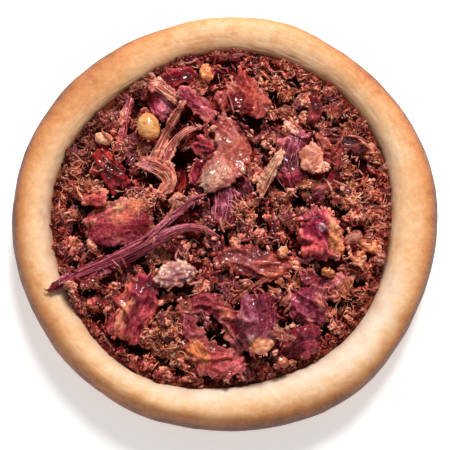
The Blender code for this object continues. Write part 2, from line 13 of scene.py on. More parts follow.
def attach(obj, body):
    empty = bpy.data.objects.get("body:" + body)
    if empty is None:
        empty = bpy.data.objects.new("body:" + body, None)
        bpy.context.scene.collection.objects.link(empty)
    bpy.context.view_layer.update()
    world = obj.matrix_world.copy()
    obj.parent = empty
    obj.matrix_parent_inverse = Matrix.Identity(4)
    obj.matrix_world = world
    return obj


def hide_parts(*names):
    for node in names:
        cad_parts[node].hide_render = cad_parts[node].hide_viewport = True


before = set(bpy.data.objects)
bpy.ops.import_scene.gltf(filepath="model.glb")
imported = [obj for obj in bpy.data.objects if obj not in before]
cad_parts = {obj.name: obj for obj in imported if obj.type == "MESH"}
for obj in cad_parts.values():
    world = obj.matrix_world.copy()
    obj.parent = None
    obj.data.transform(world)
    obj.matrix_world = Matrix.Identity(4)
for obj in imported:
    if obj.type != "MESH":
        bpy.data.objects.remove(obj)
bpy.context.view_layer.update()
mm = 0.001


# Sockets that can be added and multiplied
class Wire:
    def __init__(self, sheet, socket):
        self.sheet = sheet
        self.socket = socket

    def reckon(self, operation, first, second):
        return self.sheet.node("ShaderNodeMath", {"operation": operation}, {0: first, 1: second})

    def __add__(self, other):
        return self.reckon("ADD", self, other)

    def __radd__(self, other):
        return self.reckon("ADD", other, self)

    def __sub__(self, other):
        return self.reckon("SUBTRACT", self, other)

    def __rsub__(self, other):
        return self.reckon("SUBTRACT", other, self)

    def __mul__(self, other):
        return self.reckon("MULTIPLY", self, other)

    def __rmul__(self, other):
        return self.reckon("MULTIPLY", other, self)


# One material and its nodes
class Finish:
    def __init__(self, name, uniform):
        self.material = bpy.data.materials.new(name)
        self.material.use_nodes = True
        self.tree = self.material.node_tree
        self.shader = self.tree.nodes["Principled BSDF"]
        for socket, value in uniform.items():
            self.shader.inputs[socket].default_value = value

    def node(self, kind, settings=None, sockets=None, output=0):
        made = self.tree.nodes.new(kind)
        for key, value in (settings or {}).items():
            if key == "stops":
                self.setStops(made.color_ramp, value)
            else:
                setattr(made, key, value)
        for key, value in (sockets or {}).items():
            self.feed(made.inputs[key], value)
        return Wire(self, made.outputs[output])

    def setStops(self, ramp, stops):
        while len(ramp.elements) < len(stops):
            ramp.elements.new(1.0)
        for element, (place, colour) in zip(ramp.elements, stops):
            element.position = place
            element.color = colour

    def feed(self, socket, value):
        if isinstance(value, Wire):
            self.tree.links.new(value.socket, socket)
        else:
            socket.default_value = value

    def paint(self, **sockets):
        for name, value in sockets.items():
            self.feed(self.shader.inputs[name.replace("_", " ")], value)

    def mix(self, factor, first, second, blend="MIX"):
        settings = {"data_type": "RGBA", "blend_type": blend, "clamp_factor": True}
        return self.node("ShaderNodeMix", settings, {0: factor, 6: first, 7: second}, 2)

    def attribute(self, name, output="Fac"):
        return self.node("ShaderNodeAttribute", {"attribute_name": name}, output=output)

    def place(self):
        return self.node("ShaderNodeTexCoord", output="Object")

    def stretched(self, vector, scale):
        return self.node("ShaderNodeVectorMath", {"operation": "MULTIPLY"}, {0: vector, 1: scale})

    def grain(self, vector, scale, detail=3.0, roughness=0.55, twist=0.0):
        sockets = {"Vector": vector, "Scale": scale, "Detail": detail, "Roughness": roughness,
                   "Distortion": twist}
        return self.node("ShaderNodeTexNoise", {"normalize": True}, sockets)

    def span(self, value, low, high, first=0.0, last=1.0):
        settings = {"interpolation_type": "SMOOTHSTEP", "clamp": True}
        sockets = {"Value": value, "From Min": low, "From Max": high, "To Min": first, "To Max": last}
        return self.node("ShaderNodeMapRange", settings, sockets)

    def relief(self, height, depth, strength=1.0):
        sockets = {"Strength": strength, "Distance": depth * mm, "Height": height}
        return self.node("ShaderNodeBump", {}, sockets)


# Colours are written as they look on a screen, in six hexadecimal digits
def tone(code):
    parts = np.array([int(code[k:k + 2], 16) / 255 for k in (0, 2, 4)])
    return np.where(parts <= 0.04045, parts / 12.92, ((parts + 0.055) / 1.055) ** 2.4)


def tint(code):
    return (*tone(code), 1.0)


# Smooth noise over points, about -1 to 1
lattice = np.random.default_rng(5)
shuffled = lattice.permutation(256)
slopes = lattice.normal(size=(256, 3))
slopes /= np.linalg.norm(slopes, axis=1)[:, None]


def noiseAt(points, size=1.0, seed=0):
    placed = np.asarray(points, float) / size + seed * 7.37
    cell = np.floor(placed).astype(int)
    inside = placed - cell
    fade = inside ** 3 * (inside * (inside * 6 - 15) + 10)
    total = np.zeros(len(placed))
    for corner in np.ndindex(2, 2, 2):
        at = cell + corner
        pick = shuffled[(shuffled[(shuffled[at[:, 0] & 255] + at[:, 1]) & 255] + at[:, 2]) & 255]
        weight = np.prod(np.where(corner, fade, 1 - fade), axis=1)
        total += weight * np.einsum("ij,ij->i", slopes[pick], inside - corner)
    return total * 1.7


def layered(points, size, octaves=3, seed=0, keep=0.5):
    return sum(noiseAt(points, size / 2 ** k, seed + 3 * k) * keep ** k for k in range(octaves))


# Distances to the nearest and second nearest of scattered seeds
def cellsAt(points, size=1.0, seed=0):
    placed = np.asarray(points, float) / size + seed * 3.71
    cell = np.floor(placed).astype(int)
    nearest = np.full(len(placed), 9.0)
    second = np.full(len(placed), 9.0)
    for step in np.ndindex(3, 3, 3):
        at = cell + step - 1
        pick = shuffled[(shuffled[(shuffled[at[:, 0] & 255] + at[:, 1]) & 255] + at[:, 2]) & 255]
        middle = at + 0.5 + 0.42 * slopes[pick]
        away = np.linalg.norm(middle - placed, axis=1)
        closer = away < nearest
        second = np.where(closer, nearest, np.minimum(second, away))
        nearest = np.where(closer, away, nearest)
    return nearest, second


def smooth(low, high, value):
    share = np.clip((value - low) / (high - low), 0, 1)
    return share * share * (3 - 2 * share)


def columns(*parts):
    return np.stack(parts, axis=1)


def blendTones(tones, share):
    table = np.array([tone(code) for code in tones])
    places = np.linspace(0, 1, len(tones))
    return np.stack([np.interp(share, places, table[:, k]) for k in range(3)], axis=1)


def warmOrRed(look, warmName, redName, level, warm):
    return blendTones(look[warmName], level) * warm + blendTones(look[redName], level) * (1 - warm)


def towards(colours, target, share):
    share = np.clip(np.asarray(share), 0, 1)[:, None]
    return colours * (1 - share) + np.asarray(target) * share


# Dark beef keeps its red while green and blue sink
def deepened(colours):
    share = smooth(0.03, 0.42, colours[:, :1])
    return colours * (np.array([1.25, 0.42, 0.52]) * (1 - share) + share)


def waves(table, angle):
    return sum(size * np.cos(count * (angle - math.radians(peak))) for count, size, peak in table)


def normalsOf(points, faces):
    first, second, last = points[faces[:, 0]], points[faces[:, 1]], points[faces[:, -1]]
    facing = np.cross(second - first, last - first)
    total = np.stack([
        sum(np.bincount(faces[:, k], facing[:, axis], len(points)) for k in range(faces.shape[1]))
        for axis in range(3)
    ], axis=1)
    return total / np.maximum(np.linalg.norm(total, axis=1), 1e-9)[:, None]


def softened(points, faces, times, strength=0.5):
    sides = [(faces[:, k], faces[:, (k + 1) % faces.shape[1]]) for k in range(faces.shape[1])]
    start = np.concatenate([a for a, b in sides] + [b for a, b in sides])
    end = np.concatenate([b for a, b in sides] + [a for a, b in sides])
    count = np.maximum(np.bincount(start, minlength=len(points)), 1)
    for turn in range(times):
        mean = np.stack([np.bincount(start, points[end, k], len(points)) / count for k in range(3)], 1)
        points = points + (mean - points) * strength
    return points


def meshFrom(name, points, faces, values, material):
    mesh = bpy.data.meshes.new(name)
    corners = faces.shape[1]
    mesh.vertices.add(len(points))
    mesh.loops.add(faces.size)
    mesh.polygons.add(len(faces))
    mesh.vertices.foreach_set("co", (points * mm).astype(np.float32).ravel())
    mesh.loops.foreach_set("vertex_index", faces.astype(np.int32).ravel())
    mesh.polygons.foreach_set("loop_start", np.arange(0, faces.size, corners, dtype=np.int32))
    mesh.update(calc_edges=True)
    mesh.validate()
    for key, value in values.items():
        value = np.asarray(value, np.float32)
        if value.ndim == 1:
            mesh.attributes.new(key, "FLOAT", "POINT").data.foreach_set("value", value)
        elif key == "paint":
            coloured = np.concatenate([value, np.ones((len(value), 1), np.float32)], axis=1)
            layer = mesh.attributes.new(key, "FLOAT_COLOR", "POINT")
            layer.data.foreach_set("color", coloured.ravel())
        else:
            mesh.attributes.new(key, "FLOAT_VECTOR", "POINT").data.foreach_set("vector", value.ravel())
    mesh.materials.append(material)
    mesh.shade_smooth()
    made = bpy.data.objects.new(name, mesh)
    bpy.context.scene.collection.objects.link(made)
    return made


def pointsOf(mesh):
    points = np.empty(len(mesh.vertices) * 3, np.float32)
    mesh.vertices.foreach_get("co", points)
    return points.reshape(-1, 3).astype(float)


def treeOf(name):
    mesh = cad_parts[name].data
    return BVHTree.FromPolygons([v.co / mm for v in mesh.vertices], [p.vertices[:] for p in mesh.polygons])


def settle(piece, slotName, *nodes):
    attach(piece, "root")
    if nodes:
        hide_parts(*nodes)


# The camera and the studio
camera = {
    "elevation": 78.5,  # degrees above the table, from the front
    "distance": 300.5,
    "aim": (0.0, -2.4, 10.0),
    "lens": 85.0,
}
studio = {
    "keyPlace": (70.0, 330.0, 420.0),
    "keyAim": (0.0, 0.0, 10.0),
    "keySize": 200.0,
    "keyPower": 3.55,
    "keyColour": (1.0, 0.985, 0.96),
    "sky": 0.33,
    "floor": "f7f6f4",
    "floorGlow": 0.42,  # keeps the shadow on the table pale
    "floorHalf": 2500.0,
}


def makeCamera():
    lift = math.radians(camera["elevation"])
    aim = Vector(camera["aim"])
    place = aim + Vector((0, -math.cos(lift), math.sin(lift))) * camera["distance"]
    data = bpy.data.cameras.new("photoCamera")
    data.lens = camera["lens"]
    data.sensor_width = 36.0
    data.sensor_fit = "HORIZONTAL"
    data.clip_start = 0.01
    made = bpy.data.objects.new("photoCamera", data)
    made.location = place * mm
    made.rotation_euler = (aim - place).to_track_quat("-Z", "Y").to_euler()
    bpy.context.scene.collection.objects.link(made)
    bpy.context.scene.camera = made


def makeStudio():
    bpy.context.scene.view_settings.view_transform = "Standard"  # plain colours, as in a product photograph
    world = bpy.data.worlds.new("studioSky")
    world.use_nodes = True
    world.node_tree.nodes["Background"].inputs["Color"].default_value = (1, 1, 1, 1)
    world.node_tree.nodes["Background"].inputs["Strength"].default_value = studio["sky"]
    bpy.context.scene.world = world
    lamp = bpy.data.lights.new("keyLight", "AREA")
    lamp.shape = "DISK"
    lamp.size = studio["keySize"] * mm
    lamp.energy = studio["keyPower"]
    lamp.color = studio["keyColour"]
    key = bpy.data.objects.new("keyLight", lamp)
    place, aim = Vector(studio["keyPlace"]), Vector(studio["keyAim"])
    key.location = place * mm
    key.rotation_euler = (aim - place).to_track_quat("-Z", "Y").to_euler()
    bpy.context.scene.collection.objects.link(key)
    sheet = Finish("studioFloor", {
        "Base Color": tint(studio["floor"]), "Roughness": 0.9, "Emission Color": (1, 1, 1, 1),
        "Emission Strength": studio["floorGlow"],
    })
    ring = np.array([(1, 1), (-1, 1), (-1, -1), (1, -1)]) * studio["floorHalf"]
    corners = np.concatenate([ring, np.full((4, 1), -0.05)], axis=1)
    floor = meshFrom("studioFloor", corners, np.array([[0, 1, 2, 3]]), {}, sheet.material)
    print("camera and studio ready")


# The bread: a flat disc with a rim raised and puffed by hand
bread = {
    "outerRadius": 60.0,
    "crestRadius": 54.6,
    "wallRadius": 48.2,
    "wallLevel": 12.0,
    "floorRadius": 42.8,
    "floor": 6.0,
    "height": 17.0,
    "outerWaves": [(2, 0.25, 0), (3, 0.3, 300), (5, 0.35, 14), (6, 0.2, 10)],
    "wallWaves": [(1, 0.7, 193), (2, 1.0, 51), (3, 0.3, 68), (4, 0.4, 60), (5, 0.5, 24)],
    "crestWaves": [(1, 0.35, 300), (2, 0.3, 20), (3, 0.3, 140), (7, 0.12, 40)],
    "puffSize": 13.0,
    "puffDepth": 0.4,
    "around": 360,
    # How brown the rim is, every 45 degrees from the right, and where on its section that starts
    "browning": [1.08, 1.02, 0.44, 0.94, 1.08, 0.78, 1.02, 0.98],
    "onset": [0.38, 0.28, 0.44, 0.20, 0.30, 0.30, 0.32, 0.44],
    "ground": [0.16, 0.16, 0.24, 0.24, 0.10, 0.12, 0.03, 0.03],  # how far the pale dough is tanned
    "soaked": [0.40, 0.10, 0.40, 0.12, 0.70, 0.30, 0.40, 0.45],  # with fat beside the filling, partly painted warm shade in the cove
    "crumbTone": ["ebd6c0", "e7bb8e", "d59159", "b26a3a", "723719", "40200f"],
    "stain": "b0683c",
    "freckle": "f3dcc0",
    "scorch": "5c2e18",
    "blister": "8a4b24",
    # How fine each pattern of the crust is, per metre
    "broadNoise": 95.0,
    "fineNoise": 700.0,
    "poreNoise": 1900.0,
    "freckleNoise": 2300.0,
    "scorchNoise": 2100.0,
    "blisterNoise": 420.0,
}


def arcPoints(centre, halfWidth, halfHeight, start, end, steps):
    turn = np.radians(np.linspace(start, end, steps + 1))
    return columns(centre[0] + halfWidth * np.cos(turn), centre[1] + halfHeight * np.sin(turn))


def handShaping(radius, angle):
    inside = waves(bread["wallWaves"], angle) * smooth(0, bread["floorRadius"], radius)
    share = smooth(bread["wallRadius"], bread["outerRadius"], radius)
    return inside * (1 - share) + waves(bread["outerWaves"], angle) * share


def aroundTable(table, angle):
    turn = np.degrees(angle) % 360 / 45
    step = turn.astype(int)
    share = smooth(0, 1, turn - step)
    looped = np.array(table + table[:1])
    return looped[step % 8] * (1 - share) + looped[step % 8 + 1] * share


def breadSection():
    crest, wall, level = bread["crestRadius"], bread["wallRadius"], bread["wallLevel"]
    floor, height, floorRadius = bread["floor"], bread["height"], bread["floorRadius"]
    cove = arcPoints((floorRadius, level), wall - floorRadius, level - floor, -90, 0, 14)
    slope = arcPoints((crest, level), crest - wall, height - level, 180, 90, 26)
    side = arcPoints((crest, height / 2), bread["outerRadius"] - crest, height / 2, 90, -90, 56)
    inner = [(radius, floor) for radius in (6, 14, 22, 30, 37)]
    under = [(radius, 0.0) for radius in (50, 44, 37, 30, 22, 14, 6)]
    section = np.concatenate([inner, cove, slope[1:], side[1:], under])
    # Where round the section each ring is: 0 in the tray, 1 on the crest, 1.7 at the widest, 2.4 at the foot
    turn = np.concatenate([
        np.zeros(len(inner)), np.linspace(0, 0.35, 15), np.linspace(0.35, 1, 27)[1:],
        np.linspace(1, 2.4, 57)[1:], np.full(len(under), 2.6),
    ])
    return section, turn


def breadFinish():
    sheet = Finish("bakedBread", {
        "Roughness": 0.62, "Specular IOR Level": 0.35, "Subsurface Weight": 0.12,
        "Subsurface Radius": (0.004, 0.002, 0.001), "Subsurface Scale": 0.6,
        "Coat Roughness": 0.4,
    })
    crust, flour = sheet.attribute("crust"), sheet.attribute("flour")
    place = sheet.place()
    broad = sheet.grain(place, bread["broadNoise"], 4.0, 0.6)
    fine = sheet.grain(place, bread["fineNoise"], 3.0, 0.6)
    pores = sheet.grain(place, bread["poreNoise"], 2.0, 0.5)
    baked = crust + (broad - 0.5) * 0.30 + (fine - 0.5) * 0.22
    baked = baked + (pores - 0.5) * 0.20 * sheet.span(crust, 0.1, 0.6)
    stops = [(k / 5, tint(code)) for k, code in enumerate(bread["crumbTone"])]
    colour = sheet.node("ShaderNodeValToRGB", {"stops": stops}, {0: baked})
    freckle = sheet.span(sheet.grain(place, bread["freckleNoise"], 2.0, 0.7), 0.56, 0.68) * flour
    colour = sheet.mix(freckle * 0.35, colour, tint(bread["freckle"]))
    scorch = sheet.span(sheet.grain(place, bread["scorchNoise"], 3.0, 0.7), 0.50, 0.64)
    colour = sheet.mix(scorch * sheet.span(crust, 0.42, 0.85) * 0.65, colour, tint(bread["scorch"]))
    blister = sheet.span(sheet.grain(place, bread["blisterNoise"], 3.0, 0.6), 0.64, 0.76)
    colour = sheet.mix(blister * sheet.span(crust, 0.3, 0.75) * 0.30, colour, tint(bread["blister"]))
    # Fat stain beside the filling, partly painted warm shade in the cove between rim and filling
    colour = sheet.mix(sheet.attribute("stain") * 0.75, colour, tint(bread["stain"]), "MULTIPLY")
    height = fine * 0.70 + pores * 0.45 + broad * 0.5
    sheet.paint(Base_Color=colour, Roughness=0.50 + fine * 0.24, Normal=sheet.relief(height, 0.16, 0.75),
                Coat_Weight=sheet.span(crust, 0.3, 0.8, 0.0, 0.16))
    return sheet.material


def makeBread():
    section, turn = breadSection()
    count, rings = bread["around"], len(section)
    angle = np.repeat(np.linspace(0, 2 * math.pi, count, endpoint=False)[:, None], rings, axis=1).ravel()
    radius = np.tile(section[:, 0], count)
    level = np.tile(section[:, 1], count)
    turn = np.tile(turn, count)
    flat = columns(radius * np.cos(angle), radius * np.sin(angle), level)
    crown = smooth(bread["wallLevel"], bread["height"], level)
    outside = smooth(bread["wallRadius"] + 1, bread["outerRadius"], radius)
    puff = np.array([noise.noise(Vector(p) / bread["puffSize"]) for p in flat])
    puff *= bread["puffDepth"] * np.maximum(outside, crown)
    grown = radius + handShaping(radius, angle) + puff
    lifted = level + crown * (waves(bread["crestWaves"], angle) + puff)
    points = columns(grown * np.cos(angle), grown * np.sin(angle), lifted)
    points[:, :2] -= (points[:, :2].max(axis=0) + points[:, :2].min(axis=0)) / 2
    # Dents, faint creases round the inner wall and a grain of the dough
    around = columns(angle * 9.0, turn * 3.2, np.zeros(len(angle)))
    creased = np.abs(layered(around * (0.55, 3.4, 1), 1.6, 3, 4))
    innerWall = smooth(0.3, 0.5, turn) * (1 - smooth(0.85, 1.2, turn))
    dents = layered(points, 7.5, 3, 2) * 0.14 + layered(points, 2.4, 2, 9) * 0.035
    facing = columns(np.cos(angle) * np.clip(turn - 1, -1, 1), np.sin(angle) * np.clip(turn - 1, -1, 1),
                     np.clip(1 - np.abs(turn - 1), 0, 1))
    facing /= np.maximum(np.linalg.norm(facing, axis=1), 1e-6)[:, None]
    raised = smooth(0.1, 0.4, turn) * (1 - smooth(2.1, 2.35, turn))
    points += facing * ((dents - smooth(0.16, 0.0, creased) * innerWall * 0.10) * raised)[:, None]
    # Browning: pale inside the rim, golden to brown on its shoulder, darkest low on the outside
    blotch = layered(points, 9.0, 3, 11)
    onset = aroundTable(bread["onset"], angle) + blotch * 0.10
    strength = aroundTable(bread["browning"], angle)
    shoulder = smooth(onset + 0.25, onset + 1.15, turn)
    lower = smooth(1.12, 1.58, turn) * (1 - 0.85 * smooth(1.62, 2.0, turn + blotch * 0.2))
    crust = aroundTable(bread["ground"], angle) * (1 - 0.35 * shoulder)
    crust += strength * (0.46 * shoulder + 0.34 * lower) + blotch * 0.06
    crust += 0.06 * smooth(0.25, 0.6, layered(points, 5.0, 2, 21)) * smooth(0.6, 1.0, turn)
    under = smooth(2.35, 2.6, turn)
    crust = crust * (1 - under) + under * (0.42 + 0.22 * layered(points, 14.0, 3, 31))
    flour = smooth(1.35, 1.8, turn) * (0.35 + 0.65 * smooth(0.2, 1.0, -np.sin(angle)))
    index = np.arange(count * rings).reshape(count, rings)
    ahead = np.roll(index, -1, axis=0)
    faces = np.stack([index[:, :-1], ahead[:, :-1], ahead[:, 1:], index[:, 1:]], axis=-1).reshape(-1, 4)
    # The tray and the underside are closed over their middles
    faces = np.concatenate([faces, capFaces(index[:, 0])[:, ::-1], capFaces(index[:, -1])])
    # Fat stain beside the filling, partly painted warm shade in the cove between rim and filling
    stain = smooth(0.86, 0.38, turn + 0.16 * layered(points, 3.0, 2, 41))
    stain *= aroundTable(bread["soaked"], angle)
    values = {"crust": crust, "flour": flour, "stain": stain}
    made = meshFrom("breadBase", points, faces, values, breadFinish())
    settle(made, "bread", "bread")
    print("bread:", len(faces), "faces")
    return points


# Quads across a ring of an even number of points
def capFaces(ring):
    count = len(ring)
    half = count // 2
    return np.array([(ring[k], ring[k + 1], ring[count - k - 2], ring[count - k - 1])
                     for k in range(half - 1)])


# Heights of everything laid so far, seen from above
class Terrain:
    cell = 0.3
    half = 62.0

    def __init__(self):
        self.count = int(2 * self.half / self.cell) + 1
        self.level = np.full((self.count, self.count), -1.0)
        self.cover = np.zeros((self.count, self.count))

    def index(self, points):
        return np.clip(np.rint((points[:, :2] + self.half) / self.cell).astype(int), 0, self.count - 1).T

    def lay(self, points, covers=False):
        i, j = self.index(points)
        fresh = np.full(self.level.shape, -9.0)
        np.maximum.at(fresh, (i, j), points[:, 2])
        spread = fresh.copy()
        for step in ((0, 1), (0, -1), (1, 0), (-1, 0)):
            spread = np.maximum(spread, np.roll(fresh, step, axis=(0, 1)))
        fresh = np.where(fresh > -5, fresh, spread)
        self.level = np.maximum(self.level, fresh)
        if covers:
            self.cover[fresh > -5] = 1.0

    def at(self, x, y):
        i, j = self.index(columns(np.atleast_1d(x), np.atleast_1d(y)))
        return self.level[i, j]

    def window(self, x, y, reach):
        i, j = (int(round((c + self.half) / self.cell)) for c in (x, y))
        span = max(int(reach / self.cell), 1)
        return slice(max(i - span, 0), i + span + 1), slice(max(j - span, 0), j + span + 1)

    def rest(self, x, y, reach):
        return float(np.percentile(self.level[self.window(x, y, reach)], 60))

    def stamp(self, x, y, reach, top):
        rows, columns = self.window(x, y, reach)
        u = (np.arange(rows.start, min(rows.stop, self.count)) * self.cell - self.half - x) / reach
        v = (np.arange(columns.start, min(columns.stop, self.count)) * self.cell - self.half - y) / reach
        inside = 1 - u[:, None] ** 2 - v[None, :] ** 2
        heap = np.where(inside > 0, top - reach * 0.8 * (1 - np.sqrt(np.maximum(inside, 0))), -9.0)
        self.level[rows, columns] = np.maximum(self.level[rows, columns], heap)

    def blurred(self, table, times):
        for turn in range(times):
            table = (table + sum(np.roll(table, step, axis=(0, 1))
                                 for step in ((0, 1), (0, -1), (1, 0), (-1, 0)))) / 5
        return table


